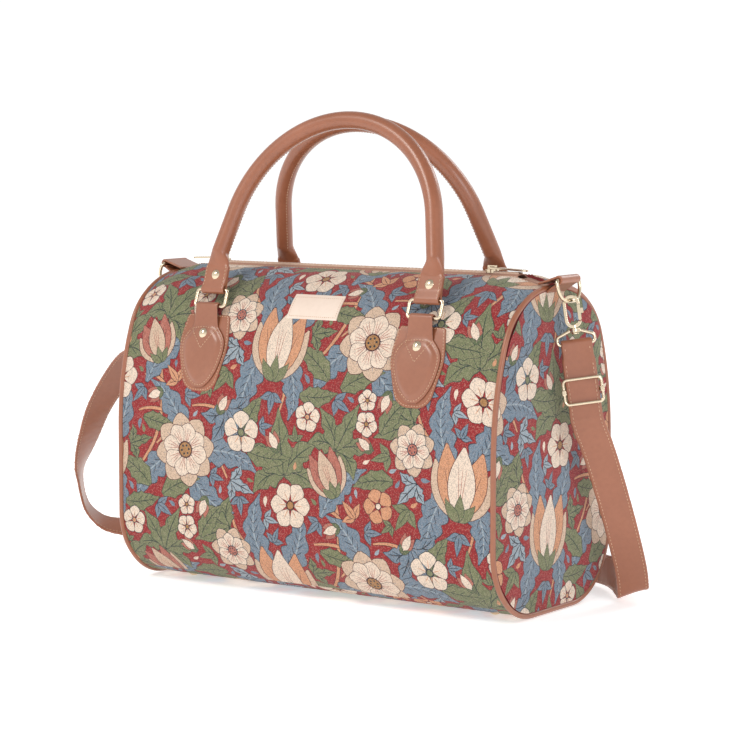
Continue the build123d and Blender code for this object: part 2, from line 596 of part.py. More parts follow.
def end_loop(end):
    """Leather loop sewn into the end seam, folded round the bar of the D-ring."""
    loop_r = WIRE_R + LOOP_GAP + LEATHER_T
    seam_z = FOOT_HEIGHT + BAG_HEIGHT - END_DROP + PIPING_R + SEAM_GAP
    under_z = seam_z - 2 * PIPING_R - 2 * SEAM_GAP
    inside = END_HALF - 3 * PIPING_R
    outside = END_HALF + FABRIC_T / 2 + 2 * SEAM_GAP
    top = [(D_BAR_X, D_BAR_Z + loop_r), (D_BAR_X, D_BAR_Z + loop_r - LEATHER_T),
           (inside, seam_z), (inside, seam_z + LEATHER_T)]
    low = [(D_BAR_X, D_BAR_Z - loop_r), (D_BAR_X, D_BAR_Z - loop_r + LEATHER_T),
           (outside, under_z), (outside, under_z - LEATHER_T)]
    ring = Pos(D_BAR_X, D_BAR_Z) * (Circle(loop_r) - Circle(WIRE_R + LOOP_GAP))
    ring -= Pos(D_BAR_X - loop_r, D_BAR_Z) * Rectangle(2 * loop_r, 2 * (WIRE_R + LOOP_GAP))
    profile = make_face(Polyline(*top, close=True)) + make_face(Polyline(*low, close=True)) + ring
    profile -= Pos(D_BAR_X, D_BAR_Z) * Circle(WIRE_R + LOOP_GAP)
    loop = extrude(Plane.XZ * profile, amount=LOOP_WIDTH / 2, both=True)
    return loop if end > 0 else mirror(loop, about=Plane.YZ)


def wire_loop(points, radii, wire_r):
    path = Wire(FilletPolyline(*points, radius=radii, close=True).edges())
    return sweep(Plane(origin=path @ 0, z_dir=path % 0) * Circle(wire_r), path=path)


def d_ring(end, tilt):
    half = D_WIDTH / 2
    outline = [(-half, 0, 0), (half, 0, 0), (half, 0, -D_DEPTH), (-half, 0, -D_DEPTH)]
    ring = wire_loop(outline, [D_TOP_R, D_TOP_R, D_LOW_R, D_LOW_R], WIRE_R)
    return hanging_plane(end, tilt, 0.0) * ring


HOOK_TOP = D_DEPTH - WIRE_R - HOOK_GAP - HOOK_WALL
HOOK_END = HOOK_TOP + HOOK_LENGTH
GATE_TOP = HOOK_TOP + GATE_START
COLLAR_AT = HOOK_END + STEM_GAP
GATE_PIVOT = GATE_TOP + GATE_LENGTH - HOOK_WALL / 2
GATE_X = HOOK_WIDTH / 2 - HOOK_WALL / 2


def clasp_hook(end, tilt, turn):
    """Oval hook with a stem that turns in the collar of the eye. One side is open for the gate."""
    middle = -(HOOK_TOP + HOOK_LENGTH / 2)
    outer = Rotation(0, 0, 90) * SlotOverall(HOOK_LENGTH, HOOK_WIDTH)
    inner = Rotation(0, 0, 90) * SlotOverall(HOOK_LENGTH - 2 * HOOK_WALL, HOOK_WIDTH - 2 * HOOK_WALL)
    opening = Pos(HOOK_WIDTH / 2, -middle - GATE_TOP - GATE_LENGTH / 2)
    cut = opening * Rectangle(HOOK_WIDTH - 2 * HOOK_WALL, GATE_LENGTH + 2 * GATE_GAP)
    hook = extrude(Plane.XZ * (outer - inner - cut), amount=HOOK_T / 2, both=True)
    hook = Pos(0, 0, middle) * hook
    shank_low = COLLAR_AT + COLLAR_H + STEM_GAP
    stem = Pos(0, 0, -(HOOK_END - HOOK_WALL + shank_low) / 2) * Cylinder(STEM_R, shank_low - HOOK_END + HOOK_WALL)
    head = Pos(0, 0, -shank_low - STEM_HEAD_H / 2) * Cylinder(STEM_HEAD_R, STEM_HEAD_H)
    return hanging_plane(end, tilt, turn) * (hook + stem + head)


def clasp_gate(end, tilt, turn):
    """Sprung side of the hook, with a thumb lever near its lower end."""
    length = GATE_PIVOT - GATE_TOP
    bar = Pos(GATE_X, 0, -GATE_TOP - length / 2) * Box(HOOK_WALL - GATE_GAP, HOOK_T - 0.8, length)
    knuckle = Pos(GATE_X, 0, -GATE_PIVOT) * Rotation(90, 0, 0) * Cylinder((HOOK_WALL - GATE_GAP) / 2, HOOK_T - 0.8)
    lever = Pos(GATE_X + GATE_LEVER / 2, 0, -GATE_TOP - 0.45 * length) * Box(GATE_LEVER, 1.6, 0.35 * length)
    return hanging_plane(end, tilt, turn) * (bar + knuckle + lever)


def clasp_eye(end, tilt, turn):
    """Wire eye with the collar that the hook turns in. The strap is folded round its lower bar."""
    collar_middle = -(COLLAR_AT + COLLAR_H / 2)
    half = EYE_HALF_WIDTH
    shoulder = EYE_BAR - 7.0
    outline = [(-half, 0, -EYE_BAR), (half, 0, -EYE_BAR), (half, 0, -shoulder), (COLLAR_R, 0, collar_middle),
               (-COLLAR_R, 0, collar_middle), (-half, 0, -shoulder)]
    eye = wire_loop(outline, [3.0, 3.0, 3.0, 2.0, 2.0, 3.0], EYE_WIRE_R)
    eye += Pos(0, 0, collar_middle) * Cylinder(COLLAR_R, COLLAR_H)
    eye -= Pos(0, 0, collar_middle) * Cylinder(STEM_R + STEM_GAP, 2 * COLLAR_H)
    return hanging_plane(end, tilt, turn) * eye


# Shoulder strap

def strap_fold(end, tilt, turn, fold_end):
    """End of the strap folded round the bar of the eye, its two layers lying together below."""
    loop_r = EYE_WIRE_R + LOOP_GAP + STRAP_T
    flat = Pos(0, -(FOLD_FLAT + 4.0)) * Rectangle(2 * STRAP_T, 8.0)
    outer = make_face(make_hull(Circle(loop_r).edges() + flat.edges()).edges())
    inner = make_face(
        make_hull(Circle(EYE_WIRE_R + LOOP_GAP).edges() + (Pos(0, -8.0) * Circle(0.2)).edges()).edges()
    )
    side_on = Plane(origin=(-FOLD_WIDTH / 2, 0, -EYE_BAR), x_dir=(0, 1, 0), z_dir=(1, 0, 0))
    fold = extrude(side_on * (outer - inner), amount=FOLD_WIDTH)
    top = EYE_BAR + FOLD_FLAT
    layers = Pos(0, 0, -(top + fold_end) / 2) * Box(STRAP_WIDTH, 2 * STRAP_T, fold_end - top)
    return hanging_plane(end, tilt, turn) * (fold + layers)


def front_layer_side(end):
    """Which face of the doubled strap carries on as the free run."""
    return -1.0


def chain_station(end, tilt, turn, distance):
    """Middle of the strap's front layer at a distance down the chain, and the way its width points."""
    plane = hanging_plane(end, tilt, turn)
    middle = plane.from_local_coords(Vector(0, front_layer_side(end) * STRAP_T / 2, -distance))
    return middle, plane.x_dir


def catmull(a, b, c, d, t):
    """Smooth value between b and c."""
    return (b * 2 + (c - a) * t + (a * 2 - b * 5 + c * 4 - d) * (t * t)
            + (b * 3 - a - c * 3 + d) * (t * t * t)) * 0.5


def strap_stations():
    left_start = chain_station(-1, CHAIN_TILT_LEFT, EYE_TURN_LEFT, FOLD_END_LEFT - 3.0)
    left_next = chain_station(-1, CHAIN_TILT_LEFT, EYE_TURN_LEFT, FOLD_END_LEFT + 5.0)
    right_next = chain_station(1, CHAIN_TILT_RIGHT, EYE_TURN_RIGHT, STRAIGHT_STRAP_END)
    right_start = chain_station(1, CHAIN_TILT_RIGHT, EYE_TURN_RIGHT, FOLD_END_RIGHT - 3.0)
    shift = END_HALF - ROUTE_END_HALF
    route = [(Vector(x + (shift if x > 0 else -shift), y, z), Vector(*width)) for (x, y, z), width in STRAP_ROUTE]
    return [left_start, left_next] + route + [right_next, right_start]


def strap_run():
    """Free run of the strap as one band through its stations."""
    chosen = strap_stations()
    points, widths = [], []
    last = len(chosen) - 1
    for i in range(last):
        around = [chosen[min(max(i + k, 0), last)] for k in (-1, 0, 1, 2)]
        straight = i in (0, last - 1)
        for k in range(1 if straight else RIBBON_STEPS):
            t = k / RIBBON_STEPS
            points.append(catmull(*[a[0] for a in around], t))
            widths.append(catmull(*[a[1] for a in around], t))
    points.append(chosen[last][0])
    widths.append(chosen[last][1])
    sections = []
    for i, (point, width) in enumerate(zip(points, widths)):
        before, after = points[max(i - 1, 0)], points[min(i + 1, len(points) - 1)]
        along = (after - before).normalized()
        across = (width - along * width.dot(along)).normalized()
        tuck = STRAP_TUCK if i in (0, len(points) - 1) else 0.0
        band = Rectangle(STRAP_WIDTH - 2 * tuck, STRAP_T - 2 * tuck)
        sections.append(Plane(origin=point, x_dir=across, z_dir=along) * band)
    length = sum((b - a).length for a, b in zip(points, points[1:]))
    print("strap free run", round(length), "mm")
    return loft(sections, ruled=True)


def shoulder_strap():
    return (strap_run() + strap_fold(-1, CHAIN_TILT_LEFT, EYE_TURN_LEFT, FOLD_END_LEFT)
            + strap_fold(1, CHAIN_TILT_RIGHT, EYE_TURN_RIGHT, FOLD_END_RIGHT))


def strap_adjuster():
    """Wire frame with a middle bar. Its end bars lie in front of the strap and the middle bar behind."""
    front = front_layer_side(1)
    frame_y = front * (STRAP_T + ADJUSTER_GAP + ADJUSTER_WIRE_R)
    bar_y = -front * (ADJUSTER_GAP + ADJUSTER_WIRE_R)
    half = ADJUSTER_HALF_WIDTH
    corners = [(-half, -ADJUSTER_HALF_LENGTH), (half, -ADJUSTER_HALF_LENGTH),
               (half, ADJUSTER_HALF_LENGTH), (-half, ADJUSTER_HALF_LENGTH)]
    outline = [(x, frame_y, z) for x, z in corners]
    frame = wire_loop(outline, [ADJUSTER_CORNER] * 4, ADJUSTER_WIRE_R)
    frame += Pos(0, bar_y, 0) * Rotation(0, 90, 0) * Cylinder(ADJUSTER_WIRE_R, 2 * half)
    reach = abs(frame_y - bar_y) + 2 * ADJUSTER_EAR
    for x in (-half, half):
        frame += Pos(x, (frame_y + bar_y) / 2, 0) * Box(2 * ADJUSTER_EAR, reach, 2.4 * ADJUSTER_EAR)
    plane = hanging_plane(1, CHAIN_TILT_RIGHT, EYE_TURN_RIGHT)
    return plane * (Pos(0, 0, -ADJUSTER_AT) * frame)


# All pieces by name

def all_parts():
    shell = fabric_shell()
    parts = {
        "front_panel": side_panel(shell, -1),
        "back_panel": side_panel(shell, 1),
        "base_panel": base_panel(shell),
        "lining": lining(),
        "base_board": base_board(),
        "base_feet": base_feet(),
        "name_plate": name_plate(),
        "anchor_rivets": anchor_rivets(),
    }
    for name, side, lean in (("front", -1, FRONT_LEAN), ("back", 1, BACK_LEAN)):
        parts["zip_tape_" + name] = zip_tape(side)
        parts["zip_teeth_" + name] = zip_teeth(side)
        parts[name + "_handle"] = handle(lean, side)
        parts[name + "_handle_core"] = handle_core(lean, side)
        parts[name + "_handle_rivets"] = handle_rivets(lean, side)
        for hand, x, ring in zip(("left", "right"), fitting_x(side), ring_x(side)):
            where = name + "_" + hand
            parts["anchor_patch_" + where] = anchor_patch(x, side)
            parts["anchor_tab_" + where] = anchor_tab(x, side)
            parts["handle_ring_" + where] = handle_ring(ring, side)
    ends = (
        ("left", -1, SLIDER_X_LEFT, CHAIN_TILT_LEFT, HOOK_TURN_LEFT, EYE_TURN_LEFT),
        ("right", 1, SLIDER_X_RIGHT, CHAIN_TILT_RIGHT, HOOK_TURN_RIGHT, EYE_TURN_RIGHT),
    )
    for name, end, slider_x, tilt, hook_turn, eye_turn in ends:
        parts["end_panel_" + name] = end_panel(end)
        parts["piping_" + name] = piping(end)
        parts["end_loop_" + name] = end_loop(end)
        parts["d_ring_" + name] = d_ring(end, tilt)
        parts["clasp_hook_" + name] = clasp_hook(end, tilt, hook_turn)
        parts["clasp_gate_" + name] = clasp_gate(end, tilt, hook_turn)
        parts["clasp_eye_" + name] = clasp_eye(end, tilt, eye_turn)
        parts["zip_slider_" + name] = zip_slider(slider_x)
        parts["zip_pull_" + name] = zip_pull(slider_x, end)
    parts["shoulder_strap"] = shoulder_strap()
    parts["strap_adjuster"] = strap_adjuster()
    return parts


for node, shape in all_parts().items():
    export_step(shape, "parts/" + node + ".step")
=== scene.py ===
import bmesh
import bpy
import json
import math
import random
from bisect import bisect_right
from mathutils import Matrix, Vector, noise
from mathutils.geometry import delaunay_2d_cdt
from mathutils.kdtree import KDTree


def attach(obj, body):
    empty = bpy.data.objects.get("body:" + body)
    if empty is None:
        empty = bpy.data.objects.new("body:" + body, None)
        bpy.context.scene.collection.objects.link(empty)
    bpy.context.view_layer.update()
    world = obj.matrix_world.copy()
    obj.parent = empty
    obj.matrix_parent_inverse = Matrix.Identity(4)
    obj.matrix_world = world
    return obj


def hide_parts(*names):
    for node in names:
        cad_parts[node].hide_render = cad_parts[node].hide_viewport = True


# Barrel travel bag of woven floral fabric with tan leather trim and pale gold fittings.
# Sizes named below are in millimetres, like the part's source. Blender's own units are metres.

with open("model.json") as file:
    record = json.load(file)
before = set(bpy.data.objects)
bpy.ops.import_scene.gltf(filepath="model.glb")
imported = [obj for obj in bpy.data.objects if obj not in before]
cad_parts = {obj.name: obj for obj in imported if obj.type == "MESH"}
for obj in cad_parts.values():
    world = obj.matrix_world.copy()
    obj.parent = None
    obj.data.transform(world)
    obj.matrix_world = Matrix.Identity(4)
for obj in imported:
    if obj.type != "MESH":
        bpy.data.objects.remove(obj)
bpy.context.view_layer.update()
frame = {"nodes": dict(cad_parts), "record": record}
NODES = frame["nodes"]
MM = 0.001


def millimetres(*values):
    return Vector(values) * MM


# Camera and light

CAMERA_AT = (1421.95, -2037.83, 467.0)
CAMERA_TARGET = (4.88, 0.0, 221.4)
CAMERA_LENS, SENSOR_WIDTH, CLIP_END = 125.7, 36.0, 50.0

scene = bpy.context.scene
camera_data = bpy.data.cameras.new("camera")
camera = bpy.data.objects.new("camera", camera_data)
scene.collection.objects.link(camera)
camera.location = millimetres(*CAMERA_AT)
camera.rotation_euler = (millimetres(*CAMERA_TARGET) - camera.location).to_track_quat("-Z", "Y").to_euler()
camera_data.lens = CAMERA_LENS
camera_data.sensor_width = SENSOR_WIDTH
camera_data.clip_end = CLIP_END
scene.camera = camera
scene.view_settings.view_transform = "Standard"


def linear(code):
    """sRGB hex code as linear red, green, blue and 1."""
    parts = [int(code[i:i + 2], 16) / 255 for i in (0, 2, 4)]
    return [x / 12.92 if x <= 0.04045 else ((x + 0.055) / 1.055) ** 2.4 for x in parts] + [1.0]


def area_light(name, at, target, size, watts, colour="FFFFFF"):
    data = bpy.data.lights.new(name, "AREA")
    data.shape = "DISK"
    data.size = size
    data.energy = watts
    data.color = linear(colour)[:3]
    lamp = bpy.data.objects.new(name, data)
    lamp.location = at
    lamp.rotation_euler = (Vector(target) - Vector(at)).to_track_quat("-Z", "Y").to_euler()
    scene.collection.objects.link(lamp)


MIDDLE = (0.0, 0.0, 0.2)
area_light("key", (-0.9, -2.0, 2.2), MIDDLE, 1.1, 32.0, "FFFAF4")
area_light("fill", (2.2, -1.2, 1.0), MIDDLE, 1.0, 13.0, "F6F8FF")
area_light("rim", (0.6, 2.2, 1.8), MIDDLE, 1.2, 16.0)



# Materials

def feed(tree, node, sockets):
    """Gives a node's input sockets their values, or links them to the outputs that are given."""
    for key, value in sockets.items():
        if isinstance(value, bpy.types.NodeSocket):
            tree.links.new(value, node.inputs[key])
        else:
            node.inputs[key].default_value = value


def add(tree, kind, sockets=None, **settings):
    """One node, with its settings and its input sockets."""
    made = tree.nodes.new(kind)
    for key, value in settings.items():
        setattr(made, key, value)
    feed(tree, made, sockets or {})
    return made


def material(name):
    made = bpy.data.materials.new(name)
    made.use_nodes = True
    tree = made.node_tree
    shader = tree.nodes["Principled BSDF"]
    return made, tree, shader


def maths(tree, operation, a, b=0.0):
    return add(tree, "ShaderNodeMath", {0: a, 1: b}, operation=operation).outputs[0]


def mixed(tree, factor, a, b, blend="MIX"):
    """Mix of two colours."""
    return add(tree, "ShaderNodeMix", {0: factor, 6: a, 7: b}, data_type="RGBA", blend_type=blend).outputs[2]


def ramp(tree, value, low, high):
    """Value stretched so that low becomes 0 and high becomes 1."""
    sockets = {"Value": value, "From Min": low, "From Max": high}
    return add(tree, "ShaderNodeMapRange", sockets).outputs["Result"]


def noise_of(tree, vector, scale, detail=2.0):
    return add(tree, "ShaderNodeTexNoise", {"Vector": vector, "Scale": scale, "Detail": detail}).outputs["Fac"]


def scaled(tree, value, low, high):
    """Value from 0 to 1 turned into low to high."""
    return add(tree, "ShaderNodeMapRange", {"Value": value, "To Min": low, "To Max": high}).outputs["Result"]


def bumped(tree, shader, height, depth, strength):
    made = add(tree, "ShaderNodeBump", {"Height": height, "Distance": depth, "Strength": strength})
    feed(tree, shader, {"Normal": made.outputs["Normal"]})


def leather(name, base, light, dark, rough):
    """Smooth calf leather with a fine pebble and soft changes of tone."""
    made, tree, shader = material(name)
    place = add(tree, "ShaderNodeTexCoord").outputs["Object"]
    broad = ramp(tree, noise_of(tree, place, 18.0, 3.0), 0.32, 0.68)
    tone = mixed(tree, maths(tree, "MULTIPLY", broad, 0.5), linear(base), linear(light))
    fine = ramp(tree, noise_of(tree, place, 240.0, 3.0), 0.42, 0.75)
    tone = mixed(tree, maths(tree, "MULTIPLY", fine, 0.16), tone, linear(dark))
    pebble = add(tree, "ShaderNodeTexVoronoi", {"Vector": place, "Scale": 1100.0}, feature="SMOOTH_F1")
    grain = maths(tree, "ADD", pebble.outputs["Distance"], noise_of(tree, place, 700.0, 3.0))
    bumped(tree, shader, grain, 0.00008, 0.35)
    feed(tree, shader, {"Base Color": tone, "Roughness": scaled(tree, broad, rough, rough + 0.12),
                        "Specular IOR Level": 0.5, "Coat Weight": 0.36, "Coat Roughness": 0.22})
    return made


def metal(name, colour, rough):
    """Polished plate with slight changes of shine."""
    made, tree, shader = material(name)
    place = add(tree, "ShaderNodeTexCoord").outputs["Object"]
    wear = ramp(tree, noise_of(tree, place, 300.0, 3.0), 0.3, 0.8)
    shine = scaled(tree, wear, rough, rough + 0.1)
    feed(tree, shader, {"Base Color": linear(colour), "Metallic": 1.0, "Roughness": shine})
    return made


def plain_cloth(name, colour, second, pitch=0.8):
    """Cloth of one colour with a fine rib along X and Z."""
    made, tree, shader = material(name)
    place = add(tree, "ShaderNodeTexCoord").outputs["Object"]
    parts = add(tree, "ShaderNodeSeparateXYZ", {0: place})
    waves = 2 * math.pi / (pitch * MM)
    across = maths(tree, "SINE", maths(tree, "MULTIPLY", parts.outputs["X"], waves))
    down = maths(tree, "SINE", maths(tree, "MULTIPLY", parts.outputs["Z"], waves))
    weave = maths(tree, "MULTIPLY", across, down)
    tone = mixed(tree, ramp(tree, weave, -1.0, 1.0), linear(colour), linear(second))
    bumped(tree, shader, weave, 0.0001, 0.6)
    feed(tree, shader, {"Base Color": tone, "Roughness": 0.85})
    return made


def plain(name, colour, rough, speckle=None):
    """One colour, or two that change in small specks."""
    made, tree, shader = material(name)
    place = add(tree, "ShaderNodeTexCoord").outputs["Object"]
    tone = mixed(tree, ramp(tree, noise_of(tree, place, 400.0), 0.3, 0.7), linear(colour), linear(speckle or colour))
    feed(tree, shader, {"Base Color": tone, "Roughness": rough})
    return made


WEFT, WARP = 0.8, 0.62     # thread spacing down and along the cloth


def tapestry(name):
    """Woven print: each facet's colour comes from the mesh, broken up thread by thread, darkened towards the grooves
    between rows of threads as painted shade and lightened on their crowns as a painted highlight.
    """
    made, tree, shader = material(name)
    tint = add(tree, "ShaderNodeAttribute", attribute_name="tint").outputs["Color"]
    uv = add(tree, "ShaderNodeUVMap", uv_map="cloth").outputs["UV"]
    parts = add(tree, "ShaderNodeSeparateXYZ", {0: uv})
    along = maths(tree, "MULTIPLY", parts.outputs["X"], 1.0 / (WARP * MM))
    down = maths(tree, "MULTIPLY", parts.outputs["Y"], 1.0 / (WEFT * MM))
    row = maths(tree, "FLOOR", down)
    column = maths(tree, "FLOOR", maths(tree, "ADD", along, maths(tree, "MULTIPLY", row, 0.5)))
    cell = add(tree, "ShaderNodeCombineXYZ", {0: column, 1: row}).outputs[0]
    thread = add(tree, "ShaderNodeTexWhiteNoise", {"Vector": cell}, noise_dimensions="2D").outputs["Value"]
    cream = maths(tree, "MULTIPLY", maths(tree, "GREATER_THAN", thread, 0.84), 0.2)
    deep = maths(tree, "MULTIPLY", maths(tree, "LESS_THAN", thread, 0.3), 0.34)
    tone = mixed(tree, cream, tint, linear("D9B9A6"))
    tone = mixed(tree, deep, tone, linear("3C2C30"))
    rib = maths(tree, "ABSOLUTE", maths(tree, "SINE", maths(tree, "MULTIPLY", down, math.pi)))
    knot = maths(tree, "ABSOLUTE", maths(tree, "SINE", maths(tree, "MULTIPLY", along, math.pi)))
    height = maths(tree, "ADD", rib, maths(tree, "MULTIPLY", knot, 0.5))
    # Painted shade and highlight: the colour of each row of threads is darkened towards the grooves between rows and
    # lightened a little on its crown.
    painted_groove_shade = scaled(tree, rib, 0.8, 1.05)
    grey = add(tree, "ShaderNodeCombineColor", {0: painted_groove_shade, 1: painted_groove_shade, 2: painted_groove_shade}).outputs[0]
    tone = mixed(tree, 1.0, tone, grey, "MULTIPLY")
    bumped(tree, shader, height, 0.00018, 0.8)
    feed(tree, shader, {"Base Color": tone, "Roughness": 0.82, "Specular IOR Level": 0.25, "Sheen Weight": 0.12})
    return made


TAN = leather("tan calf leather", "8F5539", "A06347", "643824", 0.32)
TAN_PAD = leather("padded calf leather", "8F583F", "A0694F", "683C2A", 0.33)
GOLD = metal("pale gold plate", "DCCBB0", 0.13)
THREAD = plain("waxed cream thread", "CDA78A", 0.6, "A98468")
PRINT = tapestry("woven floral tapestry")
GROUND = plain_cloth("red woven ground", "8E2F30", "742628")
LINING = plain_cloth("beige twill lining", "A8967E", "94826A")
TAPE = plain_cloth("ribbed zip tape", "B58C78", "9C7462", 0.6)
TEETH = plain("cream coil teeth", "D8BFAB", 0.3, "C9A890")
CREAM = leather("cream leather plate", "DCC8B8", "E6D5C7", "C9B2A0", 0.5)
BOARD = plain("grey board", "4A4642", 0.8)
CORD = plain("cotton cord", "C8B8A0", 0.9)
FLOOR = plain("white paper sweep", "FFFFFF", 0.9)
feed(FLOOR.node_tree, FLOOR.node_tree.nodes["Principled BSDF"],
     {"Emission Color": linear("FFFFFF"), "Emission Strength": 0.42})

SLOTS = {
    "woven_floral_fabric": GROUND, "tan_leather": TAN, "pale_gold_metal": GOLD, "lining_cloth": LINING,
    "stiffener_board": BOARD, "zip_tape_cloth": TAPE, "zip_teeth_cream": TEETH, "cream_plate": CREAM,
    "handle_core_cord": CORD,
}
slot_of = {part["node"]: part["material_slot"] for part in frame["record"]["subparts"]}
for name, node_object in NODES.items():
    node_object.data.materials.clear()
    node_object.data.materials.append(SLOTS[slot_of[name]])


# White room, bright near the level of the bag and softer overhead

world = bpy.data.worlds.new("studio")
scene.world = world
world.use_nodes = True
sky = world.node_tree
rise = add(sky, "ShaderNodeSeparateXYZ", {0: add(sky, "ShaderNodeTexCoord").outputs["Generated"]}).outputs["Z"]
level = add(sky, "ShaderNodeMapRange",
            {"Value": rise, "From Min": 0.3, "From Max": 0.75, "To Min": 1.06, "To Max": 0.5}).outputs["Result"]
feed(sky, sky.nodes["Background"], {"Strength": level, "Color": linear("FFFFFF")})


# The bag's section, as in the part's source

BAG_DEPTH, BAG_HEIGHT, FOOT_HEIGHT = 210.0, 312.5, 3.0
STRAIGHT_HALF, END_HALF, END_DROP = 185.0, 218.5, 9.5
PIPING_R, FABRIC_T = 2.5, 2.5
TOP_Z = FOOT_HEIGHT + BAG_HEIGHT
CROWN_HALF, CROWN_R = 38, 88
UPPER_INSET, UPPER_DROP, UPPER_R = 25, 31, 68
SHOULDER_DROP, SHOULDER_R = 101, 280
HAUNCH_Z, BASE_INSET, BASE_R = 42, 39, 65
ARC_STEPS = 14


def rounded(corners):
    """Points along an open outline of (x, y, radius) corners, each with its outward normal."""
    points = []
    for i, (x, y, radius) in enumerate(corners):
        here = Vector((x, y))
        if not radius:
            other = Vector(corners[i + 1 if i == 0 else i - 1][:2])
            along = (other - here).normalized() * (1 if i == 0 else -1)
            points.append((here, Vector((-along.y, along.x))))
            continue
        before = (Vector(corners[i - 1][:2]) - here).normalized()
        after = (Vector(corners[i + 1][:2]) - here).normalized()
        half_angle = before.angle(after) / 2
        middle = here + (before + after).normalized() * radius / math.sin(half_angle)
        start = here + before * radius / math.tan(half_angle)
        end = here + after * radius / math.tan(half_angle)
        first, last = (start - middle).angle_signed(Vector((1, 0))), (end - middle).angle_signed(Vector((1, 0)))
        for k in range(ARC_STEPS + 1):
            turn = first + (last - first) * k / ARC_STEPS
            out = Vector((math.cos(turn), math.sin(turn)))
            points.append((middle + out * radius, out))
    return points


def half_profile(drop):
    """Points down one side from the middle of the crown to the middle of the base: (out, height), normal."""
    half, top, base = BAG_DEPTH / 2, TOP_Z - drop, FOOT_HEIGHT
    return rounded([(0, top, 0), (CROWN_HALF, top, CROWN_R), (half - UPPER_INSET, top - UPPER_DROP, UPPER_R),
                    (half, top - SHOULDER_DROP, SHOULDER_R), (half, base + HAUNCH_Z, BASE_R),
                    (half - BASE_INSET, base, BASE_R), (0, base, 0)])


def measured(points):
    """The profile with the distance along it at each point."""
    total, out = 0.0, []
    for i, (point, normal) in enumerate(points):
        if i:
            total += (point - points[i - 1][0]).length
        out.append((total, point, normal))
    return out


PROFILES = [measured(half_profile(0.0)), measured(half_profile(END_DROP))]
GIRTH = PROFILES[0][-1][0]


def on_profile(profile, share):
    """Point and normal at a share of the way down the profile."""
    want = share * profile[-1][0]
    after = bisect_right(profile, want, 1, len(profile) - 1, key=lambda row: row[0])
    a, b = profile[after - 1], profile[after]
    t = (want - a[0]) / max(b[0] - a[0], 1e-9)
    return a[1].lerp(b[1], t), a[2].lerp(b[2], t)


def side_point(x, down, side, lift):
    """Point on the bag, down mm from the middle of the crown on one side, lifted off the fabric."""
    share = max(0.0, min(1.0, down / GIRTH))
    taper = max(0.0, min(1.0, (abs(x) - STRAIGHT_HALF) / (END_HALF - STRAIGHT_HALF)))
    (p, n), (q, m) = on_profile(PROFILES[0], share), on_profile(PROFILES[1], share)
    point, normal = p.lerp(q, taper), n.lerp(m, taper).normalized()
    point += normal * lift
    return Vector((x, side * point.x, point.y))


# Floral print. A motif is a list of filled outlines in mm, each with a colour; later ones lie on top.

RED, WINE, NAVY, SLATE, SLATE_LIGHT = "94292B", "472024", "28323C", "708291", "95A3AC"
SAGE, SAGE_DARK, MOSS = "757B59", "34423A", "5E6A4B"
IVORY, SHELL, PEACH, ROSE, OCHRE = "E2CFBC", "CDB29A", "CC936F", "AF6A5B", "A67A4C"


def blade(x, y, angle, length, width, bend=0.0, curl=0.0, lobes=0, tip=1.0, heel=0.7, steps=9):
    """Outline of a leaf, petal or stem that starts at x, y and grows at an angle, turning by bend as it goes."""
    left, right = [], []
    heading, px, py = math.radians(angle), x, y
    turn = math.radians(bend)
    for i in range(steps + 1):
        t = i / steps
        shape = math.sin(math.pi * min(max(t, 0.02), 0.98) ** heel) ** tip
        if lobes:
            shape *= 0.66 + 0.34 * abs(math.cos(math.pi * lobes * t))
        half = width / 2 * shape
        nx, ny = -math.sin(heading), math.cos(heading)
        left.append((px + nx * half, py + ny * half))
        right.append((px - nx * half, py - ny * half))
        px += math.cos(heading) * length / steps
        py += math.sin(heading) * length / steps
        heading += turn / steps * (1 + curl * t)
    return left + right[::-1]


def disc(x, y, radius, steps=14):
    return [(x + radius * math.cos(2 * math.pi * i / steps), y + radius * math.sin(2 * math.pi * i / steps))
            for i in range(steps)]


def edged(shapes, colour, edge, x, y, angle, length, width, rim=0.8, **more):
    """A blade with a darker rim round it."""
    a = math.radians(angle)
    back = (x - math.cos(a) * rim, y - math.sin(a) * rim)
    shapes.append((blade(*back, angle, length + 2.2 * rim, width + 2 * rim, **more), edge))
    shapes.append((blade(x, y, angle, length, width, **more), colour))


def vein(shapes, colour, x, y, angle, length, width=0.9, bend=0.0, curl=0.0, steps=7):
    """Thin drawn line."""
    shapes.append((blade(x, y, angle, length, width, bend, curl, tip=0.35, heel=1.0, steps=steps), colour))


def leaf(shapes, x, y, angle, length, width, bend):
    """Lobed leaf with a rib and side veins."""
    edged(shapes, SAGE, SAGE_DARK, x, y, angle, length, width, bend=bend, lobes=4, steps=12)
    vein(shapes, SAGE_DARK, x, y, angle, length * 0.9, 1.0, bend * 0.9)
    heading = math.radians(angle)
    for i in range(1, 5):
        t = i / 5.5
        h = heading + math.radians(bend) * t * 0.5
        px, py = x + math.cos(h) * length * t, y + math.sin(h) * length * t
        aim = math.degrees(heading) + bend * t
        for side in (-1, 1):
            reach = width * 0.36 * math.sin(math.pi * t) ** 0.5 + 1
            vein(shapes, SAGE_DARK, px, py, aim + side * 38, reach, 0.7, steps=3)


def plume(shapes, x, y, angle, length, width, bend):
    """Long scrolling leaf with lobes along both edges."""
    curl, parts = 0.6, 9.5
    edged(shapes, SLATE, NAVY, x, y, angle, length, width, bend=bend, curl=curl, lobes=5, heel=0.8, steps=24)
    vein(shapes, SLATE_LIGHT, x, y, angle, length * 0.93, 1.6, bend * 0.93, curl, steps=10)
    heading, px, py = math.radians(angle), x, y
    for i in range(1, 9):
        px += math.cos(heading) * length / parts
        py += math.sin(heading) * length / parts
        heading += math.radians(bend) / parts * (1 + curl * i / parts)
        size = width * 0.33 * math.sin(math.pi * (i / parts) ** 0.8)
        for side in (-1, 1):
            vein(shapes, NAVY, px, py, math.degrees(heading) + side * 42, size, 0.8, -side * 20, steps=4)


def stem(shapes, x, y, angle, length, bend, curl, width):
    """Peach stalk with a dark rim."""
    for wide, tone in ((width + 1.4, WINE), (width, PEACH)):
        shapes.append((blade(x, y, angle, length, wide, bend, curl, tip=0.25, heel=1.0, steps=16), tone))


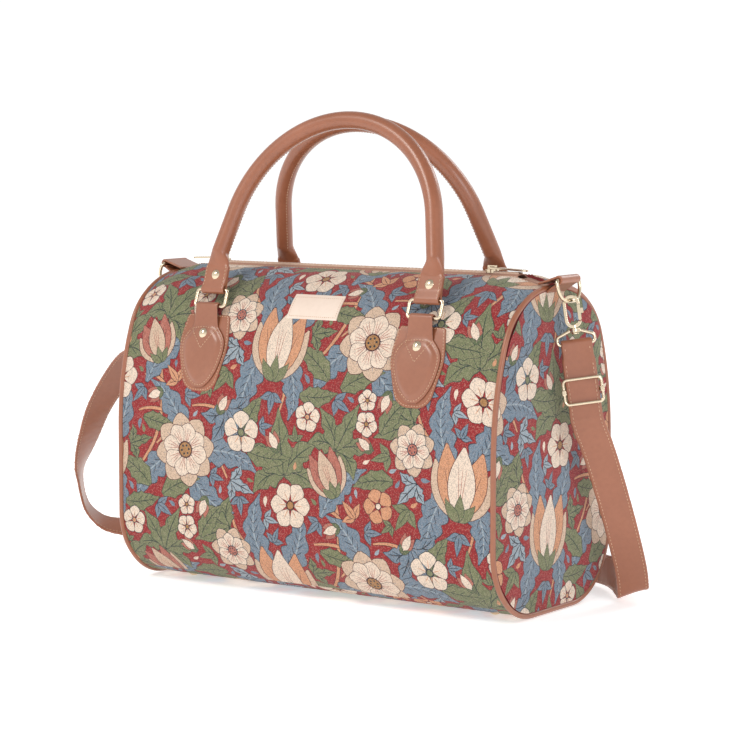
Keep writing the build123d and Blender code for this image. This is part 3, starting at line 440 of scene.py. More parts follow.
def rosette(shapes, x, y, radius, petals=8, colour=IVORY, edge=WINE, heart=OCHRE, turn=0.0):
    """Open flower: two rings of petals round a dotted heart."""
    for ring, (reach, wide, tone) in enumerate(((1.0, 0.62, SHELL), (0.74, 0.5, colour))):
        for i in range(petals):
            angle = turn + 360 / petals * (i + 0.5 * ring)
            a = math.radians(angle)
            start = radius * 0.14
            px, py = x + math.cos(a) * start, y + math.sin(a) * start
            edged(shapes, tone, edge, px, py, angle, radius * reach - start, radius * wide, 0.55, heel=1.5, tip=0.7)
            for spread in (-13, 0, 13):
                vein(shapes, ROSE if ring else SLATE, px, py, angle + spread, radius * reach * 0.62, 0.6, steps=3)
    shapes.append((disc(x, y, radius * 0.24), edge))
    shapes.append((disc(x, y, radius * 0.2), heart))
    for i in range(6):
        a = math.radians(turn + 60 * i)
        dot = disc(x + math.cos(a) * radius * 0.12, y + math.sin(a) * radius * 0.12, radius * 0.035, 6)
        shapes.append((dot, NAVY))


def daisy(shapes, x, y, radius, petals=5, colour=IVORY, edge=NAVY, heart=SAGE, turn=0.0):
    """Small flat flower with one ring of petals."""
    for i in range(petals):
        angle = turn + 360 / petals * i
        a = math.radians(angle)
        px, py = x + math.cos(a) * radius * 0.15, y + math.sin(a) * radius * 0.15
        wide = radius * 1.05 * math.sin(math.pi / petals) * 1.5
        edged(shapes, colour, edge, px, py, angle, radius * 0.88, wide, 0.6, heel=1.6, tip=0.75)
        vein(shapes, PEACH, px, py, angle, radius * 0.5, 0.8, steps=3)
    shapes.append((disc(x, y, radius * 0.24, 10), edge))
    shapes.append((disc(x, y, radius * 0.17, 8), heart))


def tulip(shapes, x, y, angle, length, colour=IVORY, inner=PEACH):
    """Cupped flower seen from the side, with hatched petals and a green cup."""
    for spread, reach, wide, tone in ((-46, 0.86, 0.3, SHELL), (46, 0.86, 0.3, SHELL), (-24, 1.0, 0.36, inner),
                                      (24, 1.0, 0.36, inner), (0, 0.96, 0.4, colour)):
        edged(shapes, tone, WINE, x, y, angle + spread, length * reach, length * wide, 0.7, bend=-spread * 0.8,
              heel=0.95, tip=0.9)
        for k in (-1, 0, 1):
            vein(shapes, ROSE if tone != inner else WINE, x, y, angle + spread + 5 * k, length * reach * 0.72,
                 0.6, -spread * 0.7, steps=5)
    for spread in (-52, 0, 52):
        edged(shapes, SAGE, SAGE_DARK, x, y, angle + spread, length * 0.34, length * 0.14, 0.6, bend=-spread * 0.5)


def bud(shapes, x, y, angle, length):
    """Closed flower in its cup."""
    for spread in (-16, 16, 0):
        edged(shapes, ROSE if spread else IVORY, WINE, x, y, angle + spread, length, length * 0.42, 0.5, heel=1.1)
    for spread in (-40, 40):
        edged(shapes, MOSS, SAGE_DARK, x, y, angle + spread, length * 0.5, length * 0.18, 0.5)


def fan(shapes, x, y, angle, size, count=5, spread=170.0, colour=SAGE, edge=SAGE_DARK):
    """Palmette of broad overlapping leaves that spring from one point, the outer ones first."""
    for i in sorted(range(count), key=lambda k: -abs(k - (count - 1) / 2)):
        turn = (i / (count - 1) - 0.5) * spread
        reach = size * (1.0 - 0.3 * abs(turn) / (spread / 2))
        edged(shapes, colour, edge, x, y, angle + turn, reach, size * 0.42, 0.9, bend=turn * 0.75, lobes=3,
              heel=0.72, steps=14)
        vein(shapes, edge, x, y, angle + turn, reach * 0.85, 1.2, turn * 0.7)
        for side in (-1, 1):
            a = math.radians(angle + turn * 1.15)
            px, py = x + math.cos(a) * reach * 0.42, y + math.sin(a) * reach * 0.42
            vein(shapes, edge, px, py, angle + turn * 1.25 + side * 34, reach * 0.28, 0.8, steps=3)


def sprig(shapes, x, y, angle, size, colour, edge):
    """Three small leaves on one stalk."""
    for turn, reach in ((-52, 0.72), (52, 0.72), (0, 1.0)):
        edged(shapes, colour, edge, x, y, angle + turn, size * reach, size * 0.36, 0.6, bend=turn * 0.5)
        vein(shapes, edge, x, y, angle + turn, size * reach * 0.7, 0.7, turn * 0.4, steps=4)


# The repeat: motifs at listed places, then small ones in the gaps

TILE_W, TILE_H = 214.0, 232.0
SPOT_PITCH, NARROWEST_GAP, MOST_FILLERS = 6.0, 4.6, 150
FILL_SEED = 5
GREENS_AND_BLUES = ((SAGE, SAGE_DARK), (SLATE, NAVY), (SLATE_LIGHT, NAVY))
NEIGHBOURS = [(i * TILE_W, (j + 0.5 * (i % 2)) * TILE_H) for i in (-1, 0, 1) for j in (-2, -1, 0, 1)]


def fill_gaps(shapes):
    """Small motifs set one by one where the ground is still barest."""
    pick = random.Random(FILL_SEED)
    columns, rows = int(TILE_W / SPOT_PITCH), int(TILE_H / SPOT_PITCH)
    spots = [(SPOT_PITCH * i, SPOT_PITCH * j) for i in range(columns) for j in range(rows)]
    room = [1e9] * len(spots)
    fresh = shapes
    for _ in range(MOST_FILLERS):
        near = [(x + dx, y + dy) for points, _ in fresh for x, y in points for dx, dy in NEIGHBOURS]
        tree = KDTree(len(near))
        for i, (x, y) in enumerate(near):
            tree.insert((x, y, 0.0), i)
        tree.balance()
        room = [min(old, tree.find((x, y, 0.0))[2]) for old, (x, y) in zip(room, spots)]
        widest = max(room)
        if widest < NARROWEST_GAP:
            break
        x, y = spots[room.index(widest)]
        fresh = []
        angle = pick.uniform(0, 360)
        back = Vector((math.cos(math.radians(angle)), math.sin(math.radians(angle)))) * widest * 0.75
        kind = pick.random()
        if widest > 13.0:
            tones = pick.choice(GREENS_AND_BLUES)
            fan(fresh, x - back.x, y - back.y, angle, widest * 1.9, 3, 110.0, *tones)
        elif widest > 8.5 and kind < 0.4:
            daisy(fresh, x, y, widest * 1.15, 5, IVORY, NAVY, OCHRE, angle)
        elif widest > 6.5:
            tones = pick.choice(GREENS_AND_BLUES + ((PEACH, WINE),))
            sprig(fresh, x - back.x, y - back.y, angle, widest * 2.0, *tones)
        else:
            tone = pick.choice((IVORY, PEACH, SLATE_LIGHT, SLATE, SAGE))
            fresh.append((blade(x - back.x, y - back.y, angle, widest * 1.7, widest * 0.75, 30.0), tone))
        shapes += fresh


# Each row starts with x, y and the angle of growth
STEMS = ((14, 170, -62, 140, -70, 0.4, 3.6), (110, 42, 118, 136, 62, 0.5, 3.6),
         (172, 110, 70, 126, 80, 0.6, 3.4), (68, 110, 10, 104, -95, 0.8, 3.2),
         (22, 70, 40, 96, 110, 0.9, 3.4), (202, 202, 200, 110, -80, 0.7, 3.4))
PLUMES = ((60, 66, 100, 84, 31, 44), (66, 62, 18, 86, 31, -48), (50, 62, 196, 76, 29, 50),
          (58, 56, -64, 80, 30, 46), (164, 182, 34, 80, 30, 55), (158, 184, 122, 82, 31, -46),
          (156, 172, 226, 82, 31, 42), (168, 172, -48, 74, 28, -52), (8, 130, 66, 74, 28, -40))
FANS = ((178, 52, 96, 62), (26, 196, 60, 50), (112, 226, 200, 46), (110, 108, -70, 46, 5, 150.0, SLATE, NAVY))
LEAVES = ((14, 28, 130, 50, 24, 30), (30, 20, 36, 50, 24, -30), (136, 70, -16, 50, 23, 28),
          (196, 128, -8, 44, 21, 30), (130, 84, 74, 46, 22, -26), (90, 170, 176, 46, 22, 30),
          (76, 214, 60, 44, 20, -24), (6, 96, -20, 40, 19, 26))
BUDS = ((100, 104, 62, 20), (172, 72, 118, 21), (30, 122, 200, 20), (84, 22, 250, 21), (66, 196, 140, 19))


def tile():
    """One repeat of the print."""
    s = []
    for motif, places in ((stem, STEMS), (plume, PLUMES), (fan, FANS), (leaf, LEAVES)):
        for args in places:
            motif(s, *args)
    rosette(s, 58, 66, 36, 8, turn=10)
    tulip(s, 162, 140, 84, 72)
    rosette(s, 112, 202, 25, 7, IVORY, NAVY, ROSE, 20)
    tulip(s, 24, 150, 112, 48, SHELL, ROSE)
    daisy(s, 128, 88, 20, 5, turn=18)
    daisy(s, 186, 22, 22, 6, IVORY, WINE, OCHRE)
    daisy(s, 74, 146, 16, 5, PEACH, WINE, IVORY, 40)
    daisy(s, 206, 108, 14, 5, IVORY, NAVY, PEACH, 10)
    for args in BUDS:
        bud(s, *args)
    fill_gaps(s)
    return s


TILE = tile()


def repeated(low, high, shift):
    """The tile laid in a half-drop repeat over the rectangle from low to high, as shapes in paint order."""
    spots = [(shift[0] + i * TILE_W, shift[1] + (j + 0.5 * (i % 2)) * TILE_H)
             for i in range(-4, 5) for j in range(-4, 5)]
    found = []
    for points, colour in TILE:
        for dx, dy in spots:
            moved = [(x + dx, y + dy) for x, y in points]
            xs, ys = [p[0] for p in moved], [p[1] for p in moved]
            if max(xs) > low[0] and min(xs) < high[0] and max(ys) > low[1] and min(ys) < high[1]:
                found.append((moved, colour))
    return found


def anticlockwise(outline):
    """The outline, run the other way if it went clockwise."""
    area = sum(a[0] * b[1] - b[0] * a[1] for a, b in zip(outline, outline[1:] + outline[:1]))
    return outline if area > 0 else outline[::-1]


def inside(outline, x, y):
    """Whether x, y is inside a closed outline."""
    odd = False
    for (ax, ay), (bx, by) in zip(outline, outline[1:] + outline[:1]):
        if (ay > y) != (by > y) and x < (bx - ax) * (y - ay) / (by - ay) + ax:
            odd = not odd
    return odd


def link(name, verts, faces, finish, body="bag"):
    """New mesh piece with its material that rides on a body."""
    mesh = bpy.data.meshes.new(name)
    mesh.from_pydata(verts, [], faces)
    mesh.materials.append(finish)
    mesh.polygons.foreach_set("use_smooth", [True] * len(mesh.polygons))
    made = bpy.data.objects.new(name, mesh)
    scene.collection.objects.link(made)
    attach(made, body)
    return made


GRID = 7.0                 # spacing of the extra points that let the flat print bend


def printed(name, outline, place, shift):
    """Skin of printed cloth over a flat outline, cut along every motif's edge and then laid on the bag.

    outline is the piece's edge in cloth mm, and place turns cloth mm into a point in metres."""
    xs, ys = [p[0] for p in outline], [p[1] for p in outline]
    low, high = (min(xs), min(ys)), (max(xs), max(ys))
    shapes = repeated(low, high, shift)
    coords, faces = [Vector(p) for p in outline], [list(range(len(outline)))]
    for points, _ in shapes:
        ring = anticlockwise(points)
        faces.append(list(range(len(coords), len(coords) + len(ring))))
        coords += [Vector(p) for p in ring]
    columns, rows = int((high[0] - low[0]) / GRID), int((high[1] - low[1]) / GRID)
    for i in range(columns + 1):
        for j in range(rows + 1):
            x, y = low[0] + (high[0] - low[0]) * i / columns, low[1] + (high[1] - low[1]) * j / rows
            if inside(outline, x, y):
                coords.append(Vector((x, y)))
    flat, _, cells, _, _, sources = delaunay_2d_cdt(coords, [], faces, 0, 1e-4)
    kept, tints = [], []
    for cell, source in zip(cells, sources):
        if 0 not in source:
            continue
        top = max(source)
        kept.append(cell)
        tints.append(linear(shapes[top - 1][1] if top else RED))
    used = sorted({v for cell in kept for v in cell})
    number = {v: i for i, v in enumerate(used)}
    verts = [place(*flat[v]) for v in used]
    made = link(name, verts, [[number[v] for v in cell] for cell in kept], PRINT)
    mesh = made.data
    tint = mesh.attributes.new("tint", "FLOAT_COLOR", "FACE")
    tint.data.foreach_set("color", [c for colour in tints for c in colour])
    cloth = mesh.uv_layers.new(name="cloth")
    at = [0.0] * (2 * len(mesh.loops))
    for i, loop in enumerate(mesh.loops):
        at[2 * i], at[2 * i + 1] = (flat[used[loop.vertex_index]] * MM)[:]
    cloth.data.foreach_set("uv", at)
    return made


# The printed skins of the five panels

SKIN_LIFT = 0.25
ZIP_EDGE, BASE_SEAM = 14.3, 72.0
SHELL_HALF = END_HALF - PIPING_R
TAB_MIDDLES = {-1: (-120.0, 130.0), 1: (-140.0, 110.0)}
PATCH_CENTRE, PATCH_HALF_WIDTH, PATCH_HALF_HEIGHT = 108.0, 30.0, 48.0     # where the cloth is held flat
PLATE_X, PLATE_HALF, PLATE_NEAR, PLATE_FAR, PLATE_T = 2.0, 29.0, 85.0, 69.0, 1.2
PLATE_DOWN = 78.0          # middle of the plate, along the cloth from the crown


def fade(value, low, high):
    """0 at or below low, 1 at or above high, smooth between."""
    t = max(0.0, min(1.0, (value - low) / (high - low)))
    return t * t * (3 - 2 * t)


def sag(x, down, seed):
    """How far the cloth stands off the stiffened shell, in mm."""
    wave = noise.noise(Vector((x / 95.0, down / 80.0, seed)))
    small = noise.noise(Vector((x / 28.0, down / 34.0, seed + 7.0)))
    return max(0.0, 1.1 + 1.6 * wave + 0.5 * small)


def seam_down():
    """Distance from the crown to the seam of the base."""
    for total, point, _ in reversed(PROFILES[0]):
        if point.x >= BASE_SEAM:
            return total
    return GIRTH


SEAM_AT = seam_down()


def near_tab(x, down, side):
    """1 over the leather anchor patches, 0 away from them."""
    most = 0.0
    for middle in TAB_MIDDLES[side]:
        across, along = abs(x - middle) - PATCH_HALF_WIDTH, abs(down - PATCH_CENTRE) - PATCH_HALF_HEIGHT
        most = max(most, 1.0 - fade(max(across, along), 0.0, 26.0))
    return most


def side_skin(side):
    """Print of the front or back panel."""
    name = "front_print" if side < 0 else "back_print"
    outline = [(-SHELL_HALF, -SEAM_AT), (SHELL_HALF, -SEAM_AT), (SHELL_HALF, -ZIP_EDGE), (-SHELL_HALF, -ZIP_EDGE)]
    turned = 1 if side < 0 else -1

    def place(u, v):
        x, down = turned * u, -v
        edge = fade(SHELL_HALF - abs(x), 0.0, 22.0) * fade(down, ZIP_EDGE, 42.0) * fade(GIRTH - 60 - down, 0.0, 30.0)
        plate = 1.0 - fade(max(abs(x - PLATE_X) - 30.0, abs(down - PLATE_DOWN) - 16.0), 0.0, 20.0)
        free = edge * (1.0 - near_tab(x, down, side)) * (1.0 - (plate if side < 0 else 0.0))
        return side_point(x, down, side, SKIN_LIFT + free * sag(x, down, 3.0 * side)) * MM

    printed(name, outline, place, (20.0, 46.0) if side < 0 else (70.0, 10.0))


def end_outline(inset):
    """Outline of an end panel in (y, z), going round from the base."""
    profile = PROFILES[1]
    right = [(p.x - n.x * inset, p.y - n.y * inset) for _, p, n in profile]
    return right[::-1] + [(-y, z) for y, z in right[1:-1]]


def end_skin(end):
    """Print of an end panel, which bulges a little and lies flat behind the strap's clasp."""
    outline = anticlockwise(end_outline(PIPING_R + 0.4))
    face = END_HALF + FABRIC_T / 2

    def place(u, v):
        y = u * end
        rim = min(BAG_DEPTH / 2 - abs(u), v - FOOT_HEIGHT, TOP_Z - END_DROP - v)
        inner = fade(rim, 2.0, 46.0)
        ripple = 1.5 * noise.noise(Vector((y / 30.0, v / 85.0, 5.0 * end)))
        crown = 2.6 * inner + ripple * inner
        strap = 1.0 - fade(max(abs(y) - 19.0, 290.0 - v), 0.0, 14.0)
        return Vector((end * (face + SKIN_LIFT * 0.5 + max(0.0, crown) * (1 - strap)), y, v)) * MM

    name = "end_print_right" if end > 0 else "end_print_left"
    printed(name, outline, place, (34.0, 20.0) if end > 0 else (8.0, 60.0))


def base_skin():
    """Print of the base panel, seen from below."""
    wide = GIRTH - SEAM_AT
    outline = [(-SHELL_HALF, -wide), (SHELL_HALF, -wide), (SHELL_HALF, wide), (-SHELL_HALF, wide)]

    def place(u, v):
        return side_point(u, GIRTH - abs(v), 1 if v > 0 else -1, 0.12) * MM

    made = printed("base_print", outline, place, (50.0, 20.0))
    made.data.flip_normals()


for side in (-1, 1):
    side_skin(side)
for end in (1, -1):
    end_skin(end)
base_skin()


# Leather tabs, as one padded leaf that folds round the lower bar of each ring

WIRE_R, LEATHER_T, LOOP_GAP, SEAM_GAP = 1.75, 2.2, 0.3, 0.1
LOOP_R = WIRE_R + LOOP_GAP + LEATHER_T
PATCH_T, TAB_T, TAB_PAD_T = 2.0, 1.9, 1.9
RING_LEAN, RING_PITCH, RING_SEAT_Z = 20.0, 17.0, 276.0
PATCH_TOP_Z, PATCH_LOW_Z = 271.0, 197.0
PATCH_OUTLINE = [(25.0, PATCH_TOP_Z, 4.0), (30.5, 242.0, 50.0), (18.0, PATCH_LOW_Z, 18.0)]
TAB_NECK_Z, TAB_START_Z, TAB_FOOT_Z, TAB_NECK_HALF = 262.0, 259.0, 200.7, 13.0
TAB_WIDTHS = [(262.0, 13.0), (258.5, 15.2), (254.5, 19.4), (250.5, 23.0), (246.0, 25.4), (241.0, 26.2), (234.0, 25.6),
              (226.0, 23.4), (218.0, 20.2), (211.5, 16.2), (206.5, 12.0), (202.8, 7.6), (201.2, 4.2), (200.6, 0.8)]
TAB_COLUMNS = 26
TAB_STITCH_INSET = 2.6
UNDER_TAB = 2 * SEAM_GAP + PATCH_T


def crossing(measure, want):
    """Point of the side's profile where a measure of it climbs past the wanted value, and its outward normal."""
    for (_, a, first_normal), (_, b, last_normal) in zip(PROFILES[0], PROFILES[0][1:]):
        first, last = measure(a), measure(b)
        if first <= want < last:
            t = (want - first) / (last - first)
            return a.lerp(b, t), first_normal.lerp(last_normal, t).normalized()
    raise ValueError("the side has no such point")


def at_height(z):
    return crossing(lambda point: -point.y, -z)


def at_depth(out):
    """As at_height, at a distance out from the middle of the crown."""
    return crossing(lambda point: point.x, out)


def tab_half(z):
    """Half the width of the tab at a height."""
    for (z0, w0), (z1, w1) in zip(TAB_WIDTHS, TAB_WIDTHS[1:]):
        if z0 >= z >= z1:
            return w0 + (w1 - w0) * (z0 - z) / (z0 - z1)
    return TAB_WIDTHS[0][1]


TAB_RIM = [(w, z) for z, w in TAB_WIDTHS]
TAB_RIM += [(-w, z) for w, z in TAB_RIM[::-1]]


def to_rim(a, z):
    """Distance from a point of the tab to its cut edge."""
    here = Vector((a, z))
    nearest = 1e9
    for p, q in zip(TAB_RIM, TAB_RIM[1:]):
        p, q = Vector(p), Vector(q)
        t = max(0.0, min(1.0, (here - p).dot(q - p) / (q - p).length_squared))
        nearest = min(nearest, (here - p.lerp(q, t)).length)
    return nearest


def tab_lift(a, z):
    """Height of the padded leather over its edge, with the groove that the stitches press in."""
    rim = to_rim(a, z)
    groove = 0.35 * math.exp(-((rim - TAB_STITCH_INSET) / 0.7) ** 2)
    return TAB_PAD_T * fade(rim, 2.8, 8.0) * fade(TAB_NECK_Z - z, 0.0, 10.0) - groove


def on_tab(middle, side, a, z, lift=0.0):
    """Point on the face of a tab and its normal."""
    point, normal = at_height(z)
    point = point + normal * (UNDER_TAB + TAB_T + tab_lift(a, z) + lift)
    return Vector((middle + a, side * point.x, point.y)), Vector((0, side * normal.x, normal.y))


def ring_bar():
    """Middle of the ring's lower bar, as (out, height)."""
    seat, normal = at_height(RING_SEAT_Z)
    return seat + normal * (UNDER_TAB + LOOP_R)


def tab_rows():
    """Middle line of the leather as (point, normal, half width, height), from behind the bar to the foot."""
    bar, reach = ring_bar(), WIRE_R + LOOP_GAP + LEATHER_T / 2
    first, first_normal = at_height(TAB_START_Z)
    first = first + first_normal * (UNDER_TAB + TAB_T / 2)
    rows = []
    for degrees in range(205, -60, -15):
        out = Vector((math.cos(math.radians(degrees)), math.sin(math.radians(degrees))))
        here = bar + out * reach
        rows.append((here, out, TAB_NECK_HALF, None))
        if degrees < 90 and (first - here).dot(out) > -0.4:
            break
    start, start_normal = rows[-1][0], rows[-1][1]
    for t in (0.25, 0.5, 0.75):
        normal = start_normal.lerp(first_normal, t).normalized()
        rows.append((start.lerp(first, t), normal, TAB_NECK_HALF + 1.3 * t, None))
    z = TAB_START_Z
    while z > TAB_FOOT_Z:
        point, normal = at_height(z)
        rows.append((point + normal * (UNDER_TAB + TAB_T / 2), normal, tab_half(z), z))
        z -= 1.6 if z > 212 else 0.8
    return rows


def tab_skin(node, middle, side):
    """One leather tab, padded and rounded at its cut edge, that stands for the plain one."""
    rows, columns = tab_rows(), TAB_COLUMNS
    top, low = [], []
    for point, normal, half, z in rows:
        for i in range(columns + 1):
            share = math.sin((i / columns - 0.5) * math.pi)
            a = half * share
            edge = (1.0 - abs(share) ** 10) ** 0.5
            lift = TAB_T / 2 * edge + (tab_lift(a, z) * edge if z else 0.0)
            for into, up in ((top, lift), (low, -TAB_T / 2 * edge)):
                spot = point + normal * up
                into.append(Vector((middle + a, side * spot.x, spot.y)) * MM)
    faces, wide, count = [], columns + 1, len(top)
    for r in range(len(rows) - 1):
        for i in range(columns):
            a, b = r * wide + i, r * wide + i + 1
            faces.append((a, b, b + wide, a + wide))
            faces.append((count + a, count + a + wide, count + b + wide, count + b))
        for i in (0, columns):
            a = r * wide + i
            faces.append((a, a + wide, count + a + wide, count + a))
    for r in (0, len(rows) - 1):
        for i in range(columns):
            a = r * wide + i
            faces.append((a, count + a, count + a + 1, a + 1))
    made = link("tab_leather_" + node, top + low, faces, TAN_PAD)
    tidy_mesh(made)
    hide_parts("anchor_tab_" + node)


def tidy_mesh(piece):
    """Joined corners and outward faces."""
    work = bmesh.new()
    work.from_mesh(piece.data)
    bmesh.ops.remove_doubles(work, verts=work.verts, dist=1e-6)
    bmesh.ops.recalc_face_normals(work, faces=work.faces)
    work.to_mesh(piece.data)
    work.free()


# Stitches

SIDES = 5                  # of one stitch
STITCH_SECTIONS = ((-0.5, 0.45, 0.5), (-0.26, 1.0, 0.0), (0.26, 1.0, 0.0), (0.5, 0.45, 0.5))   # along, size, depth


def stitches(name, runs, body="bag", pitch=3.0, length=2.1, radius=0.42):
    """Rows of thread. Each run is a list of points in mm with the normal of the leather or cloth at each."""
    verts, faces = [], []
    for run in runs:
        marks = [0.0]
        for (p, _), (q, _) in zip(run, run[1:]):
            marks.append(marks[-1] + (q - p).length)
        count = max(1, int(marks[-1] / pitch))
        step, k = marks[-1] / count, 0
        for n in range(count):
            want = (n + 0.5) * step
            while marks[k + 1] < want:
                k += 1
            (p, u), (q, v) = run[k], run[k + 1]
            t = (want - marks[k]) / (marks[k + 1] - marks[k])
            centre, normal, along = p.lerp(q, t), u.lerp(v, t).normalized(), (q - p).normalized()
            side = along.cross(normal).normalized()
            first = len(verts)
            for reach, size, sunk in STITCH_SECTIONS:
                ring = centre + along * reach * length - normal * sunk * radius
                for turn in range(SIDES):
                    a = 2 * math.pi * turn / SIDES
                    verts.append((ring + (side * math.cos(a) + normal * math.sin(a)) * radius * size) * MM)
            last = len(verts) - SIDES
            for ring in range(first, last, SIDES):
                for turn in range(SIDES):
                    a, b = ring + turn, ring + (turn + 1) % SIDES
                    faces.append((a, b, b + SIDES, a + SIDES))
            faces += [tuple(range(first + SIDES - 1, first - 1, -1)), tuple(range(last, last + SIDES))]
    link(name, verts, faces, THREAD, body)


def line(points, steps):
    """The points with more set between them in straight lines."""
    out = []
    for (ax, ay), (bx, by) in zip(points, points[1:]):
        out += [(ax + (bx - ax) * k / steps, ay + (by - ay) * k / steps) for k in range(steps)]
    return out + [points[-1]]


def patch_run(middle, side, inset):
    """Row of stitches along the edge of an anchor patch."""
    half = rounded([(0.0, PATCH_TOP_Z, 0.0)] + PATCH_OUTLINE + [(0.0, PATCH_LOW_Z, 0.0)])
    right = [p - n * inset for p, n in half]
    run = []
    for a, z in [(p.x, p.y) for p in right] + [(-p.x, p.y) for p in right[-2::-1]]:
        point, normal = at_height(z)
        point = point + normal * (SEAM_GAP + PATCH_T)
        run.append((Vector((middle + a, side * point.x, point.y)), Vector((0, side * normal.x, normal.y))))
    return run


def tab_runs(middle, side):
    """Stitches along a tab's edge and in the triangle round its rivet."""
    rim = [(w - TAB_STITCH_INSET, z) for z, w in TAB_WIDTHS if 210.0 < z < 257.0]
    rim += [(9.9, 207.9), (6.4, 205.0), (3.2, 203.7), (0.0, 203.3)]
    rim += [(-a, z) for a, z in rim[-2::-1]]
    corners = [(-15.0, 256.5), (0.0, 258.0), (15.0, 256.5), (0.0, 238.0), (-15.0, 256.5)]
    return [[on_tab(middle, side, a, z) for a, z in line(rim, 3)],
            [on_tab(middle, side, a, z) for a, z in line(corners, 8)]]


ZIP_SEAM_HALF, ZIP_SEAM_STEPS = 206, 140

for side, front in ((-1, "front"), (1, "back")):
    rows = []
    for hand, middle in zip(("left", "right"), TAB_MIDDLES[side]):
        tab_skin(front + "_" + hand, middle, side)
        rows += tab_runs(middle, side)
        rows.append(patch_run(middle, side, 1.8))
    stitches("tab_stitches_" + front, rows)
    edge = []
    for k in range(ZIP_SEAM_STEPS + 1):
        x = -ZIP_SEAM_HALF + 2 * ZIP_SEAM_HALF * k / ZIP_SEAM_STEPS
        edge.append((side_point(x, ZIP_EDGE + 2.4, side, 0.5), Vector((0, 0, 1))))
    stitches("zip_stitches_" + front, [edge], pitch=3.4)


# Stitches round the plate

PLATE_INSET = 1.8
plate = []
for x, out in line([(-1, 1), (1, 1), (1, -1), (-1, -1), (-1, 1)], 12):
    middle, half = (PLATE_NEAR + PLATE_FAR) / 2, (PLATE_NEAR - PLATE_FAR) / 2 - PLATE_INSET
    point, normal = at_depth(middle + out * half)
    point = point + normal * (SEAM_GAP + PLATE_T)
    along = PLATE_X + x * (PLATE_HALF - PLATE_INSET)
    plate.append((Vector((along, -point.x, point.y)), Vector((0, -normal.x, normal.y))))
stitches("plate_stitches", [plate], pitch=2.4, length=1.6, radius=0.3)


# Stitches on the handles

HANDLE_X, HANDLE_R, HANDLE_LEANS = 125.0, 8.5, {-1: 17.5, 1: 21.0}
HANDLE_MIDDLES = {-1: 7.0, 1: -17.0}
ARCH_HEIGHT, ARCH_R, LEG_LEAN, LEG_START = 173.0, 119.0, 13.0, 38.0
ARCH_STEPS, LEG_STEPS = 40, 6
SEAM_WAY = 0.8, 0.6        # how far the tube's seam is turned to its inner side and to the bag
FLAT_HALF = 11.3           # from the middle of the flat end to its stitches


def handle_place(side):
    """Maps a point of the handle's own plane (across, up, out) to the bag, with or without its place."""
    bar, lean, up_lean = ring_bar(), math.radians(HANDLE_LEANS[side]), math.radians(RING_LEAN)
    high = bar + Vector((-math.sin(up_lean), math.cos(up_lean))) * RING_PITCH

    def place(x, up, out, free=False):
        y = out * math.cos(lean) - up * math.sin(lean)
        z = out * math.sin(lean) + up * math.cos(lean)
        if free:
            return Vector((x, side * y, z))
        return Vector((HANDLE_MIDDLES[side] + x, side * (high.x + y), high.y + z))

    return place


def arch_points():
    """Middle line of the tube: a point (across, up) and the direction away from the arch's centre."""
    turn, centre = math.radians(LEG_LEAN), ARCH_HEIGHT - ARCH_R
    points = []
    for k in range(ARCH_STEPS + 1):
        a = turn + (math.pi - 2 * turn) * k / ARCH_STEPS
        points.append(((ARCH_R * math.cos(a), centre + ARCH_R * math.sin(a)), (math.cos(a), math.sin(a))))
    (x, y), out = points[0]
    for k in range(1, LEG_STEPS + 1):
        drop = (y - LEG_START) * k / LEG_STEPS
        points.insert(0, ((x + drop * math.tan(turn), y - drop), out))
        points.append(((-x - drop * math.tan(turn), y - drop), (-out[0], out[1])))
    return points


for side, front in ((-1, "front"), (1, "back")):
    place = handle_place(side)
    seam = []
    for (x, up), (ox, oy) in arch_points():
        way = (-SEAM_WAY[0] * ox, -SEAM_WAY[0] * oy, -SEAM_WAY[1])
        seam.append((place(x + way[0] * HANDLE_R, up + way[1] * HANDLE_R, way[2] * HANDLE_R), place(*way, free=True)))
    rows = [seam]
    for foot in (-1, 1):
        for across in (-FLAT_HALF, FLAT_HALF):
            run = []
            for up, out in ((3.0, 4.0), (6.0, 3.1), (9.0, 2.5), (24.0, 2.5)):
                run.append((place(foot * HANDLE_X + across, up, out), place(0.0, 0.0, 1.0, free=True)))
            rows.append(run)
    stitches("handle_stitches_" + front, rows, front + "_handle", pitch=3.2)


# Stitches along the strap. Its run is drawn through the same places as in the part's source.

